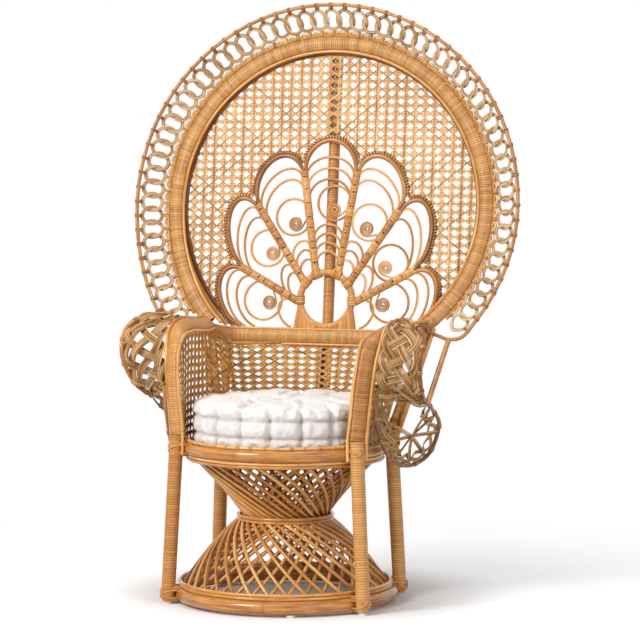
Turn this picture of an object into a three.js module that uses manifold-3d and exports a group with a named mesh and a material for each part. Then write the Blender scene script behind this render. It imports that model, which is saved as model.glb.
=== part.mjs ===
// A woven rattan peacock chair: an hourglass pedestal of twisted rods, four lashed legs, a round seat
// with a loose cushion, rolled arms, and a great round back that carries a fan of petals and scrolls
// inside a border of interlocked links.
// Millimetres, +Z up. The chair faces -Y, and left and right are as seen by someone facing it.
import * as THREE from "three";
import { mergeVertices } from "three/addons/utils/BufferGeometryUtils.js";
import Module from "manifold-3d";

// Fits and facets
const CLEARANCE = 0.3;
const FACET_LEAN = 0.85;
const RING_SEGMENTS = 30;
const RING_SIDES = 8;
const POLE_SIDES = 10;
const GLIDE_SIDES = 6;

// Feet and the floor ring
const GLIDE_HEIGHT = 6;
const GLIDE_DIAMETER = 22;
const BASE_SPREAD = 20;
const BASE_POLE_DIAMETER = 32;
const RING_GLIDES = 4;
const RING_GLIDE_ANGLE = THREE.MathUtils.degToRad(22.5);

// Twisted rods of the pedestal
const ROD_DIAMETER = 8;
const ROD_SIDES = 3;
const RODS_PER_LAYER = 34;
const ROD_TWIST = THREE.MathUtils.degToRad(75);
const TWIST_POWER = 0.7;
const WAIST_SHARE = 0.391;
const WAIST_HEIGHT = 207;
const WAIST_HOOP = 8;
const WAIST_RING_DRAW_IN = 1.1;
const LAYER_SPACING = 17;
const DOME_POWER = 0.76;
const CONE_POWER = 1.15;
const ROD_END_LIFT = 3.2;
const DOME_SHARES = [0, 0.35, 0.7, 1];
const CONE_SHARES = [1, 0.5];
const TRIM_DIAMETER = 8;
const PAIR_WAIST_SHARE = 0.7;
const ROD_BITE = 0.6;

// Seat
const SEAT_RING_RADIUS = 238;
const SEAT_RING_HEIGHT = 379;
const SEAT_POLE_DIAMETER = 30;
const SEAT_DECK_THICKNESS = 8;

// Cushion
const CUSHION_MARGIN = 12;
const CUSHION_SIDE = 96;
const CUSHION_CROWN = 22;
const CUSHION_DRAW_IN = 7;
const CUSHION_TUCKS = 18;
const CUSHION_TUCK_DEPTH = 5;
const CUSHION_CHANNEL_DEPTH = 4;

// Legs
const LEG_DIAMETER = 34;
const FRONT_LEG_ANGLE = THREE.MathUtils.degToRad(59);
const REAR_LEG_ANGLE = THREE.MathUtils.degToRad(124);
const LEG_RISE_PAST_SEAT = 32;

// Round back, measured in its own leaning plane from the top of the fan's rail
const RAIL_BEHIND_SEAT = 59;
const RAIL_ABOVE_SEAT = 261;
const BACK_LEAN = THREE.MathUtils.degToRad(6.5);
const BAND_RADIUS = 415;
const BACK_CENTRE_SHARE = 0.7518;
const BAND_WIDTH = 34;
const BAND_THICKNESS = 16;
const BAND_EDGE_SHARE = 0.3;
const CANE_HOOP_DIAMETER = 18;
const CANE_THICKNESS = 3;
const CANE_FOOT_SHARE = 0.1735;
const CANE_OPENINGS_ACROSS = 8;
const CANE_BAR_SHARE = 0.28;
const HOOP_STEPS = 28;
const HOOP_SIDES = 4;
const HOOP_STOP = 10;
const CORNER_SWEEP = 60;
const BORDER_WIDTH = 70;
const BORDER_FLARE = 40;
const RIM_DIAMETER = 9;
const RIM_TAIL = [[-36, -6, -10], [-72, 4, -22]];
const LINK_PITCH = 35;
const LINK_STRAND = 5.5;
const LINK_HALF_LENGTH = 24;
const LINK_HALF_HEIGHT = 30;
const LINK_BITE = 1.2;
const LINK_SIDES = 3;
const LINK_CORNERS = 6;

// Petal fan
const RAIL_DEPTH = 36;
const RAIL_THICKNESS = 20;
const PETAL_ROD = 11;
const PETAL_SIDES = 4;
const ARCH_ROD = 4.5;
const HUB_SHARE = 0.1687;
const HUB_ROD = 13;
const HUB_SIDES = 5;
const HUB_SEGMENTS = 18;
const CENTRE_POLE_DIAMETER = 28;
const SCROLL_ROD = 3.6;
const SCROLL_TURNS = 3.5;
const SCROLL_PITCH = 4.3;
const SCROLL_EYE = 2.4;
const SCROLL_STEPS_PER_TURN = 8;

// Arms, woven shell and rolled wings
const ARM_WIDTH = 36;
const ARM_THICKNESS = 16;
const ARM_TURN = THREE.MathUtils.degToRad(30);
const ARM_ROLL = THREE.MathUtils.degToRad(45);
const ARM_STEPS = 14;
const ARM_ROLL_SHARES = [0.35, 0.62];
const SHELL_THICKNESS = 4;
const SHELL_INNER_SIDE = 2;
const SHELL_STEPS = 22;
const SHELL_BACK_HALF = 130;
const SHELL_BACK_CURVE = 10;
const SHELL_FRONT_GAP = THREE.MathUtils.degToRad(-3);
const SHELL_FOOT_OUT = 4;
const SHELL_FRONT_FLARE = 7;
const SHELL_FLARE_POWER = 8;
const WING_ROD = 10;
const WING_STRIP = 9;
const WING_STEPS = 22;
const WING_START_SHARE = 0.643;
const WING_END_SHARE = 0.215;
const WING_RIB_SHARES = [0.09, 0.228, 0.364];
const WING_STRIP_SHARES = [0.35, 0.7];
const WING_STAY_SHARE = 0.41;
const BRACE_DIAMETER = 20;
const STAY_DIAMETER = 13;
const STAY_SIDES = 6;

// Routes of the arm, the shell's top edge and the wing on the right-hand side. Each place is given as its
// distance outside the seat ring's middle line, its depth behind the pedestal's axis and its height above
// the seat ring
const ARM_ROUTE = [[9, -124, 213], [13, -84, 271], [19, -16, 289], [24, 110, 282]];
const SHELL_ARM_ROUTE = [
  [-12, 222, 222], [12, 150, 255], [4, 60, 260], [-5, -39, 263], [-13, -102, 230], [-14, -128, 206],
];
const WING_ROUTE = [
  [107, -70, 311], [141, -90, 286], [142, -122, 226], [130, -64, 144], [112, 80, 91],
  [107, 150, 46], [92, 120, -19], [62, 60, -44], [42, -40, -14], [32, -95, 51],
];

// The fan's drawing on the right-hand side, from the lowest petal to the top one, in shares of the band's
// radius across and up from the rail
const SPOKE_ROOT_SHARES = [[0.1952, 0.1783], [0.154, 0.3036], [0.075, 0.3619]];
const SPOKE_TIP_SHARES = [[0.5711, 0.3807], [0.4723, 0.7687], [0.1735, 0.9831]];
const LOWEST_FOOT_SHARES = [0.5446, 0];
const PETAL_BULGE_SHARES = [0.1446, 0.1735, 0.1639, 0.1735];
const ARCH_COUNTS = [2, 2, 2, 3];
const ARCH_SPACING_SHARE = 0.0675;
const ARCH_RISE_SHARE = 0.1205;
const TIP_ARCH_SHARE = 0.92;
const HUB_ARCH_COUNTS = [1, 2, 3, 4];
const HUB_ARCH_SPACING_SHARE = 0.0482;
const HUB_ARCH_SHARE = 0.07;
const LOOP_PLACE_SHARES = [0.57, 0.63, 0.62, 0.66];
const LOOP_RADIUS_SHARES = [0.1205, 0.1108, 0.1108, 0.106];
const LOOP_OPENING_SHARE = 0.0482;
const SCROLL_DROP_SHARE = 0.0434;
const SCROLL_TAIL_SHARE = 0.0313;
const PETAL_STEPS = 8;
const TIP_ARCH_STEPS = 5;
const HUB_ARCH_STEPS = 4;
const LOOP_STEPS = 7;

// Finishes
const VARNISHED_POLE = { color: 0xc98f55, roughness: 0.35, metalness: 0 };
const WRAPPED_PEEL = { color: 0xcb9a63, roughness: 0.5, metalness: 0 };
const RAW_CANE = { color: 0xc0a27a, roughness: 0.65, metalness: 0 };
const WHITE_COTTON = { color: 0xf1ece6, roughness: 0.9, metalness: 0 };
const WHITE_NYLON = { color: 0xeeeeea, roughness: 0.45, metalness: 0 };

const wasm = await Module();
wasm.setup();

const chair = new THREE.Group();
const back = new THREE.Group();
back.position.set(0, SEAT_RING_RADIUS + RAIL_BEHIND_SEAT, SEAT_RING_HEIGHT + RAIL_ABOVE_SEAT);
back.rotation.x = Math.PI / 2 - BACK_LEAN;
back.updateMatrixWorld(true);
chair.add(back);

// Welds shared corners and turns the faces outward
function closed(geometry) {
  geometry.deleteAttribute("normal");
  geometry.deleteAttribute("uv");
  const welded = mergeVertices(geometry);
  const place = welded.attributes.position;
  const index = welded.index;
  const a = new THREE.Vector3();
  const b = new THREE.Vector3();
  const c = new THREE.Vector3();
  let volume = 0;
  for (let i = 0; i < index.count; i += 3) {
    a.fromBufferAttribute(place, index.getX(i));
    b.fromBufferAttribute(place, index.getX(i + 1));
    c.fromBufferAttribute(place, index.getX(i + 2));
    volume += a.dot(b.cross(c));
  }
  if (volume < 0) {
    for (let i = 0; i < index.count; i += 3) {
      const first = index.getX(i);
      index.setX(i, index.getX(i + 1));
      index.setX(i + 1, first);
    }
  }
  return welded;
}

function solid(geometry) {
  const welded = closed(geometry);
  const vertProperties = new Float32Array(welded.attributes.position.array);
  const triVerts = new Uint32Array(welded.index.array);
  return new wasm.Manifold(new wasm.Mesh({ numProp: 3, vertProperties, triVerts }));
}

function surface(body) {
  const mesh = body.getMesh();
  const geometry = new THREE.BufferGeometry();
  geometry.setAttribute("position", new THREE.BufferAttribute(mesh.vertProperties, 3));
  geometry.setIndex(new THREE.BufferAttribute(mesh.triVerts, 1));
  return geometry;
}

function fuse(geometries) {
  return surface(geometries.map(solid).reduce((whole, piece) => whole.add(piece)));
}

function add(name, geometry, finish, parent = chair) {
  const mesh = new THREE.Mesh(closed(geometry), new THREE.MeshStandardMaterial(finish));
  mesh.name = name;
  parent.add(mesh);
  return mesh;
}

// A regular outline for a round rod, its corners on the given diameter
function section(diameter, sides) {
  const corners = [];
  for (let i = 0; i < sides; i += 1) {
    const angle = (2 * Math.PI * (i + 0.5)) / sides;
    corners.push(new THREE.Vector2(Math.cos(angle), Math.sin(angle)).multiplyScalar(diameter / 2));
  }
  return new THREE.Shape(corners);
}

// A route whose steps fall on its own points
class PointRoute extends THREE.Curve {
  constructor(points) {
    super();
    this.points = points;
  }

  getPoint(share, target = new THREE.Vector3()) {
    const place = share * (this.points.length - 1);
    const index = Math.min(Math.floor(place), this.points.length - 2);
    return target.lerpVectors(this.points[index], this.points[index + 1], place - index);
  }

  getUtoTmapping(share) {
    return share;
  }
}

function rod(points, diameter, sides) {
  const options = { extrudePath: new PointRoute(points), steps: points.length - 1, bevelEnabled: false };
  return new THREE.ExtrudeGeometry(section(diameter, sides), options);
}

function smooth(points, steps) {
  return new THREE.CatmullRomCurve3(points).getSpacedPoints(steps);
}

// A level hoop about the pedestal's axis from a closed outline of radius and height
function hoop(outline, segments) {
  const ring = new THREE.LatheGeometry([...outline, outline[0].clone()], segments);
  return ring.rotateX(Math.PI / 2);
}

function roundHoop(radius, height, diameter, segments, sides) {
  const outline = section(diameter / Math.cos(Math.PI / sides), sides).getPoints().slice(0, sides);
  return hoop(outline.map((point) => point.add(new THREE.Vector2(radius, height))), segments);
}

// Two thin rods laid one on the other, as one waisted outline
function pairOutline(radius, height, diameter) {
  const half = diameter / 2;
  const waist = half * PAIR_WAIST_SHARE;
  const right = [[half, -diameter], [waist, 0], [half, diameter]];
  const left = right.map(([out, up]) => [-out, up]).reverse();
  return [...right, ...left].map(([out, up]) => new THREE.Vector2(radius + out, height + up));
}

// Skin over a run of equal outlines, closed at both ends about their middles; the sides named as turned take
// their other diagonal
function loft(rings, turned = []) {
  const count = rings[0].length;
  const corners = rings.flat();
  const faces = [];
  for (let i = 0; i + 1 < rings.length; i += 1) {
    for (let j = 0; j < count; j += 1) {
      const k = (j + 1) % count;
      const low = i * count;
      const high = low + count;
      const quad = [low + j, low + k, high + k, high + j];
      const [a, b, c, d] = turned.includes(j) ? [...quad.slice(1), quad[0]] : quad;
      faces.push(a, b, c, a, c, d);
    }
  }
  for (const end of [0, rings.length - 1]) {
    const middle = new THREE.Vector3();
    rings[end].forEach((corner) => middle.addScaledVector(corner, 1 / count));
    corners.push(middle);
    for (let j = 0; j < count; j += 1) {
      const k = (j + 1) % count;
      const pair = end === 0 ? [k, j] : [j, k];
      faces.push(end * count + pair[0], end * count + pair[1], corners.length - 1);
    }
  }
  const geometry = new THREE.BufferGeometry().setFromPoints(corners);
  geometry.setIndex(faces);
  return geometry;
}

// Flat wrapped band: a six-cornered outline carried along a run of places
function band(stations, width, thickness) {
  const edge = width / 2;
  const shoulder = edge - thickness * BAND_EDGE_SHARE;
  const half = thickness / 2;
  const lower = [[-edge, 0], [-shoulder, -half], [shoulder, -half]];
  const outline = [...lower, ...lower.map(([out, up]) => [-out, -up])];
  return loft(stations.map(({ place, across, face }) => outline.map(([out, up]) =>
    place.clone().addScaledVector(across, out).addScaledVector(face, up))));
}

// Point about the pedestal's axis, its angle taken from the front towards the right
function around(radius, angle, height) {
  return new THREE.Vector3(radius * Math.sin(angle), -radius * Math.cos(angle), height);
}

const baseRingRadius = SEAT_RING_RADIUS + BASE_SPREAD;
const baseRingHeight = GLIDE_HEIGHT + CLEARANCE + BASE_POLE_DIAMETER / 2;
const baseRingTop = baseRingHeight + BASE_POLE_DIAMETER / 2;
const seatRingTop = SEAT_RING_HEIGHT + SEAT_POLE_DIAMETER / 2;
const seatRingUnder = SEAT_RING_HEIGHT - SEAT_POLE_DIAMETER / 2;

// Floor ring, seat ring and the pairs of thin rods that hide the rod ends
function rings() {
  const ringFacets = [RING_SEGMENTS, RING_SIDES];
  const baseRing = roundHoop(baseRingRadius, baseRingHeight, BASE_POLE_DIAMETER, ...ringFacets);
  add("base_ring", baseRing, VARNISHED_POLE);
  const seatRing = roundHoop(SEAT_RING_RADIUS, SEAT_RING_HEIGHT, SEAT_POLE_DIAMETER, ...ringFacets);
  add("seat_ring", seatRing, VARNISHED_POLE);
  const trimOffset = TRIM_DIAMETER + CLEARANCE;
  const baseTrim = pairOutline(baseRingRadius, baseRingTop + trimOffset, TRIM_DIAMETER);
  add("base_trim", hoop(baseTrim, RING_SEGMENTS), VARNISHED_POLE);
  const seatTrim = pairOutline(SEAT_RING_RADIUS, seatRingUnder - trimOffset, TRIM_DIAMETER);
  add("seat_trim", hoop(seatTrim, RING_SEGMENTS), VARNISHED_POLE);
}

const trimInside = (TRIM_DIAMETER + ROD_DIAMETER) / 2 + CLEARANCE;
const coneTop = seatRingUnder - ROD_END_LIFT;
const domeFoot = baseRingTop + ROD_END_LIFT;
const waistRadius = SEAT_RING_RADIUS * WAIST_SHARE;

// One rod that turns about the axis, fastest at the waist: a dome below the waist and a cone above it
function latticeRod(angle, handed, neck, endInset) {
  const halves = [
    { radius: SEAT_RING_RADIUS, height: coneTop, power: CONE_POWER, turn: -handed, shares: CONE_SHARES },
    { radius: baseRingRadius, height: domeFoot, power: DOME_POWER, turn: handed, shares: DOME_SHARES },
  ];
  const points = halves.flatMap(({ radius, height, power, turn, shares }) => shares.map((share) => {
    const reach = THREE.MathUtils.lerp(neck, radius - trimInside - endInset, share ** power);
    const level = THREE.MathUtils.lerp(WAIST_HEIGHT, height, share);
    return around(reach, angle + turn * ROD_TWIST * share ** TWIST_POWER, level);
  }));
  return rod(points, ROD_DIAMETER, ROD_SIDES);
}

// How far a rod of the dome moves out for each millimetre that it drops from the waist
function domeSlope(neck) {
  const share = DOME_SHARES[1];
  const out = (baseRingRadius - trimInside - neck) * share ** DOME_POWER;
  return out / (share * (WAIST_HEIGHT - domeFoot));
}

// Two crossing layers of rods nailed to the two sides of a waist hoop, with a pair of thin rods outside
function pedestal() {
  const reach = (WAIST_HOOP + ROD_DIAMETER / 2) / 2 - ROD_BITE;
  const waistHoop = roundHoop(waistRadius, WAIST_HEIGHT, WAIST_HOOP, RODS_PER_LAYER, HOOP_SIDES);
  const pieces = [waistHoop.rotateZ(Math.PI / RODS_PER_LAYER)];
  const layers = [
    { handed: 1, neck: waistRadius + reach, endInset: 0 },
    { handed: -1, neck: waistRadius - reach, endInset: LAYER_SPACING },
  ];
  for (const { handed, neck, endInset } of layers) {
    for (let i = 0; i < RODS_PER_LAYER; i += 1) {
      pieces.push(latticeRod((2 * Math.PI * i) / RODS_PER_LAYER, handed, neck, endInset));
    }
  }
  add("pedestal_rods", fuse(pieces), VARNISHED_POLE);
  const flare = TRIM_DIAMETER * domeSlope(layers[0].neck);
  const reachOut = flare - WAIST_RING_DRAW_IN + (ROD_DIAMETER + TRIM_DIAMETER) / 2 + CLEARANCE;
  const waistPair = pairOutline(layers[0].neck + reachOut, WAIST_HEIGHT, TRIM_DIAMETER);
  add("waist_ring", hoop(waistPair, RING_SEGMENTS), VARNISHED_POLE);
}

// Woven platform that closes the seat ring
function seatDeck() {
  const radius = SEAT_RING_RADIUS - SEAT_POLE_DIAMETER / 2 - CLEARANCE;
  const deck = new THREE.CylinderGeometry(radius, radius, SEAT_DECK_THICKNESS, RING_SEGMENTS);
  deck.rotateX(Math.PI / 2);
  deck.translate(0, 0, SEAT_RING_HEIGHT);
  add("seat_deck", deck, RAW_CANE);
}

// Loose cushion: two rolls about a boxed side drawn in by tucks, and a crown with sewn channels
function cushion() {
  const columns = CUSHION_TUCKS * 2;
  const bottom = SEAT_RING_HEIGHT + SEAT_DECK_THICKNESS / 2 + CLEARANCE;
  const cushionRadius = SEAT_RING_RADIUS - CUSHION_MARGIN;
  const roll = CUSHION_DRAW_IN / cushionRadius;
  const profile = [
    { reach: 0.92, rise: 0, tuck: 0 },
    { reach: 1, rise: 0.2, tuck: 0.3 },
    { reach: 1 - roll, rise: 0.35, tuck: 0.6 },
    { reach: 1, rise: 0.47, tuck: 1 },
    { reach: 1, rise: 0.67, tuck: 1 },
    { reach: 1 - roll, rise: 0.79, tuck: 0.6 },
    { reach: 1, rise: 0.89, tuck: 0.3 },
    { reach: 0.94, rise: 1, tuck: 0 },
    { reach: 0.78, rise: 1, tuck: 0, crown: 0.4 },
    { reach: 0.45, rise: 1, tuck: 0, crown: 0.95 },
  ];
  const rows = profile.map(({ reach, rise, tuck, crown = 0 }) => {
    const row = [];
    for (let i = 0; i < columns; i += 1) {
      const angle = (2 * Math.PI * i) / columns;
      const seam = i % 2 === 0 ? 1 : 0;
      const radius = cushionRadius * reach - seam * tuck * CUSHION_TUCK_DEPTH;
      const channel = crown > 0 ? seam * CUSHION_CHANNEL_DEPTH : 0;
      row.push(around(radius, angle, bottom + CUSHION_SIDE * rise + CUSHION_CROWN * crown - channel));
    }
    return row;
  });
  add("seat_cushion", loft(rows), WHITE_COTTON);
}

const legTop = SEAT_RING_HEIGHT + LEG_RISE_PAST_SEAT;

// Distance from the axis to the faceted outside of a ring, in a given direction
function facetReach(radius, angle) {
  const half = Math.PI / RING_SEGMENTS;
  const turned = THREE.MathUtils.euclideanModulo(angle, 2 * half) - half;
  return (radius * Math.cos(half)) / Math.cos(turned);
}

// Distance from the axis to the middle of a leg that leans on both rings
function legReach(height, angle) {
  const low = facetReach(baseRingRadius + BASE_POLE_DIAMETER / 2, angle);
  const high = facetReach(SEAT_RING_RADIUS + SEAT_POLE_DIAMETER / 2, angle);
  const share = (height - baseRingHeight) / (SEAT_RING_HEIGHT - baseRingHeight);
  return THREE.MathUtils.lerp(low, high, share) + LEG_DIAMETER / 2 + CLEARANCE;
}

// Upright pole through the given places, cut level at both ends
function pole(places, diameter) {
  const corners = section(diameter, POLE_SIDES).getPoints().slice(0, POLE_SIDES);
  return loft(places.map((place) => corners.map((corner) =>
    new THREE.Vector3(place.x + corner.x, place.y + corner.y, place.z))));
}

function leg(angle) {
  const ends = [GLIDE_HEIGHT + CLEARANCE, legTop];
  return pole(ends.map((height) => around(legReach(height, angle), angle, height)), LEG_DIAMETER);
}

function glide(radius, angle) {
  const pad = new THREE.CylinderGeometry(GLIDE_DIAMETER / 2, GLIDE_DIAMETER / 2, GLIDE_HEIGHT, GLIDE_SIDES);
  pad.rotateX(Math.PI / 2);
  const place = around(radius, angle, GLIDE_HEIGHT / 2);
  return pad.translate(place.x, place.y, place.z);
}

function legsAndGlides() {
  const legs = { front: FRONT_LEG_ANGLE, rear: REAR_LEG_ANGLE };
  for (const [row, angle] of Object.entries(legs)) {
    for (const [side, sign] of [["left", -1], ["right", 1]]) {
      add(`${row}_leg_${side}`, leg(sign * angle), WRAPPED_PEEL);
      add(`${row}_leg_glide_${side}`, glide(legReach(GLIDE_HEIGHT, angle), sign * angle), WHITE_NYLON);
    }
  }
  for (let i = 0; i < RING_GLIDES; i += 1) {
    const angle = (2 * Math.PI * i) / RING_GLIDES + RING_GLIDE_ANGLE;
    add(`ring_glide_${i + 1}`, glide(baseRingRadius, angle), WHITE_NYLON);
  }
}

// Heights above the back's own plane, and the level at which every hoop of the back stops
const caneFront = CANE_THICKNESS / 2;
const hoopFlat = (CANE_HOOP_DIAMETER / 2) * Math.SQRT1_2;
const bandForward = hoopFlat + CLEARANCE + BAND_THICKNESS / 2;
const petalFlat = (PETAL_ROD / 2) * Math.SQRT1_2;
const petalForward = caneFront + CLEARANCE + petalFlat;
const innerTrimRadius = BAND_RADIUS - BAND_WIDTH / 2 - CLEARANCE - TRIM_DIAMETER / 2;
const outerTrimRadius = BAND_RADIUS + BAND_WIDTH / 2 + CLEARANCE + TRIM_DIAMETER / 2;
const rimRadius = outerTrimRadius + BORDER_WIDTH;
const caneHoopRadius = innerTrimRadius + CANE_HOOP_DIAMETER / 2;
const rimForward = bandForward + BORDER_FLARE;
const backCentreUp = BAND_RADIUS * BACK_CENTRE_SHARE;
const hubRadius = BAND_RADIUS * HUB_SHARE;

function lowestAngle(radius) {
  return -Math.asin((backCentreUp - HOOP_STOP) / radius);
}

const railLength = 2 * caneHoopRadius * Math.cos(lowestAngle(caneHoopRadius));

// Place on a hoop of the back; below the middle its front sweeps forward to meet the arms
function onHoop(radius, angle, forward, sweep = CORNER_SWEEP) {
  const drop = Math.max(0, -Math.sin(angle)) / Math.sin(-lowestAngle(BAND_RADIUS));
  return new THREE.Vector3(
    radius * Math.cos(angle),
    backCentreUp + radius * Math.sin(angle),
    forward + sweep * drop ** 2,
  );
}

function hoopPoints(radius, forward, count, sweep) {
  const low = lowestAngle(radius);
  const points = [];
  for (let i = 0; i <= count; i += 1) {
    points.push(onHoop(radius, THREE.MathUtils.lerp(low, Math.PI - low, i / count), forward, sweep));
  }
  return points;
}

// Wide wrapped band of the back with its hoops
function backHoops() {
  const caneHoop = rod(hoopPoints(caneHoopRadius, 0, HOOP_STEPS, 0), CANE_HOOP_DIAMETER, HOOP_SIDES);
  add("cane_hoop", caneHoop, VARNISHED_POLE, back);
  const low = lowestAngle(BAND_RADIUS);
  const stations = hoopPoints(BAND_RADIUS, bandForward, HOOP_STEPS).map((place, i) => {
    const angle = THREE.MathUtils.lerp(low, Math.PI - low, i / HOOP_STEPS);
    const across = new THREE.Vector3(Math.cos(angle), Math.sin(angle), 0);
    return { place, across, face: new THREE.Vector3(0, 0, 1) };
  });
  add("back_band", band(stations, BAND_WIDTH, BAND_THICKNESS), WRAPPED_PEEL, back);
  const innerTrim = rod(hoopPoints(innerTrimRadius, bandForward, HOOP_STEPS), TRIM_DIAMETER, HOOP_SIDES);
  add("back_inner_trim", innerTrim, VARNISHED_POLE, back);
}

// Directions along, across and out of the border at an angle of the back
function borderFrame(middleRadius, middleForward, angle) {
  const inner = onHoop(outerTrimRadius, angle, bandForward);
  const outward = onHoop(rimRadius, angle, rimForward).sub(inner).normalize();
  const halfStep = LINK_PITCH / middleRadius / 2;
  const ahead = onHoop(middleRadius, angle + halfStep, middleForward);
  const along = ahead.sub(onHoop(middleRadius, angle - halfStep, middleForward)).normalize();
  along.addScaledVector(outward, -along.dot(outward)).normalize();
  return { along, outward, face: new THREE.Vector3().crossVectors(along, outward) };
}

// Low end of the border's rim on the right, where it turns inward below the last link
function rimTail() {
  const end = onHoop(rimRadius, lowestAngle((outerTrimRadius + rimRadius) / 2), rimForward);
  return RIM_TAIL.map((offset) => end.clone().add(new THREE.Vector3(...offset)));
}

// Border links: every second one hangs on the rim, the others on the band's outer rod, and they interlock
function linkedBorder() {
  const carriers = [
    { row: "inner", radius: outerTrimRadius, forward: bandForward, lean: -1, diameter: TRIM_DIAMETER },
    { row: "rim", radius: rimRadius, forward: rimForward, lean: 1, diameter: RIM_DIAMETER },
  ];
  const middleRadius = (outerTrimRadius + rimRadius) / 2;
  const middleForward = (bandForward + rimForward) / 2;
  const low = lowestAngle(middleRadius);
  const count = Math.floor((middleRadius * (Math.PI - 2 * low)) / LINK_PITCH);
  const halfSlant = Math.hypot(BORDER_WIDTH, BORDER_FLARE) / 2;
  const layer = LINK_STRAND / 2 + CLEARANCE;
  const tubeShare = LINK_STRAND / 2 / LINK_HALF_LENGTH;
  const stretch = new THREE.Matrix4().makeScale(LINK_HALF_LENGTH, LINK_HALF_HEIGHT, LINK_HALF_LENGTH);
  carriers.forEach(({ row, radius, forward, lean, diameter }, which) => {
    const angles = [];
    for (let i = which; i < count; i += 2) {
      angles.push(THREE.MathUtils.lerp(low, Math.PI - low, (i + 0.5) / count));
    }
    const route = [low, ...angles, Math.PI - low].map((angle) => onHoop(radius, angle, forward));
    const right = row === "rim" ? rimTail() : [];
    const left = right.map((place) => new THREE.Vector3(-place.x, place.y, place.z));
    const pieces = [rod([...right.reverse(), ...route, ...left], diameter, HOOP_SIDES)];
    const shift = halfSlant - (diameter * Math.SQRT1_2) / 2 - LINK_HALF_HEIGHT * (1 + tubeShare) + LINK_BITE;
    for (const angle of angles) {
      const { along, outward, face } = borderFrame(middleRadius, middleForward, angle);
      const upright = outward.multiplyScalar(halfSlant).addScaledVector(face, -layer).normalize();
      const normal = new THREE.Vector3().crossVectors(along, upright).normalize();
      const link = new THREE.TorusGeometry(1, tubeShare, LINK_SIDES, LINK_CORNERS);
      link.rotateZ((lean * Math.PI) / 2);
      const place = onHoop(middleRadius, angle, middleForward);
      place.addScaledVector(upright, lean * shift).addScaledVector(face, lean * layer);
      const turn = new THREE.Matrix4().makeBasis(along, upright, normal).setPosition(place);
      pieces.push(link.applyMatrix4(stretch).applyMatrix4(turn));
    }
    add(`border_${row}_links`, fuse(pieces), RAW_CANE, back);
  });
}

// The seven petals from left to right: which drawing each takes, and whether it is mirrored
const topPetal = PETAL_BULGE_SHARES.length - 1;
const leftPetals = PETAL_BULGE_SHARES.slice(0, topPetal).map((bulge, petal) => [petal, -1]);
const rightPetals = leftPetals.map(([petal]) => [petal, 1]).reverse();
const petalOrder = [...leftPetals, [topPetal, 1], ...rightPetals];

// Place on the fan's drawing
function flat(shares, mirror = 1) {
  return new THREE.Vector3(mirror * shares[0] * BAND_RADIUS, shares[1] * BAND_RADIUS, petalForward);
}

// Line of one petal leg beside the middle of its spoke
function petalLeg(spoke, mirror, towards) {
  const root = flat(SPOKE_ROOT_SHARES[spoke], mirror);
  const tip = flat(SPOKE_TIP_SHARES[spoke], mirror);
  const side = new THREE.Vector3(-(tip.y - root.y), tip.x - root.x, 0).normalize();
  const offset = PETAL_ROD / 2 + CLEARANCE;
  const sign = Math.sign(side.dot(towards.clone().sub(tip)));
  return [root.addScaledVector(side, sign * offset), tip.addScaledVector(side, sign * offset)];
}

// The two sides of a petal, as lines from the hub outward
function petalSides(petal, mirror) {
  if (petal === topPetal) {
    const spoke = topPetal - 1;
    const middle = flat([0, SPOKE_TIP_SHARES[spoke][1]]);
    return [petalLeg(spoke, 1, middle), petalLeg(spoke, -1, middle)];
  }
  const below = petal === 0 ? LOWEST_FOOT_SHARES : SPOKE_TIP_SHARES[petal - 1];
  const upper = petalLeg(petal, mirror, flat(below, mirror));
  if (petal === 0) {
    const foot = flat(LOWEST_FOOT_SHARES, mirror);
    foot.y += PETAL_ROD / 2 + CLEARANCE;
    const heel = flat([SPOKE_ROOT_SHARES[0][0], 0], mirror);
    heel.y = foot.y;
    return [[heel, foot], upper];
  }
  return [petalLeg(petal - 1, mirror, flat(SPOKE_TIP_SHARES[petal], mirror)), upper];
}

// Arch from one side to the other that swells outward by the given rise
function arch(from, to, rise, outward, count) {
  const middle = from.clone().lerp(to, 0.5);
  const half = to.clone().sub(from).multiplyScalar(0.5);
  const points = [];
  for (let i = 0; i <= count; i += 1) {
    const angle = (Math.PI * i) / count;
    const point = middle.clone().addScaledVector(half, -Math.cos(angle));
    points.push(point.addScaledVector(outward, rise * Math.sin(angle)));
  }
  return points;
}

function alongSide(side, share) {
  return side[0].clone().lerp(side[1], share);
}

// Shortest way from a place to one side of a petal
function wayToSide(place, side) {
  const along = side[1].clone().sub(side[0]).normalize();
  const offset = place.clone().sub(side[0]);
  return offset.addScaledVector(along, -offset.dot(along)).negate();
}

// Place on a circle that lies in the back's plane
function onCircle(centre, radius, angle) {
  return centre.clone().add(new THREE.Vector3(Math.cos(angle), Math.sin(angle), 0).multiplyScalar(radius));
}

// Open loop inside a petal, with both of its ends tied to one side
function petalLoop(seat, other, share, radius) {
  const tie = alongSide(seat, share);
  const inward = alongSide(other, share).sub(tie).normalize();
  const opening = LOOP_OPENING_SHARE * BAND_RADIUS;
  const middle = tie.clone().addScaledVector(inward, Math.sqrt(radius ** 2 - opening ** 2));
  const way = wayToSide(middle, seat);
  const gap = Math.acos(way.length() / radius);
  const start = Math.atan2(way.y, way.x) + gap;
  const sweep = 2 * (Math.PI - gap);
  const points = [];
  for (let i = 0; i <= LOOP_STEPS; i += 1) {
    const angle = start + (sweep * i) / LOOP_STEPS;
    points.push(onCircle(middle, radius, angle));
  }
  return { middle, points };
}

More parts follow.
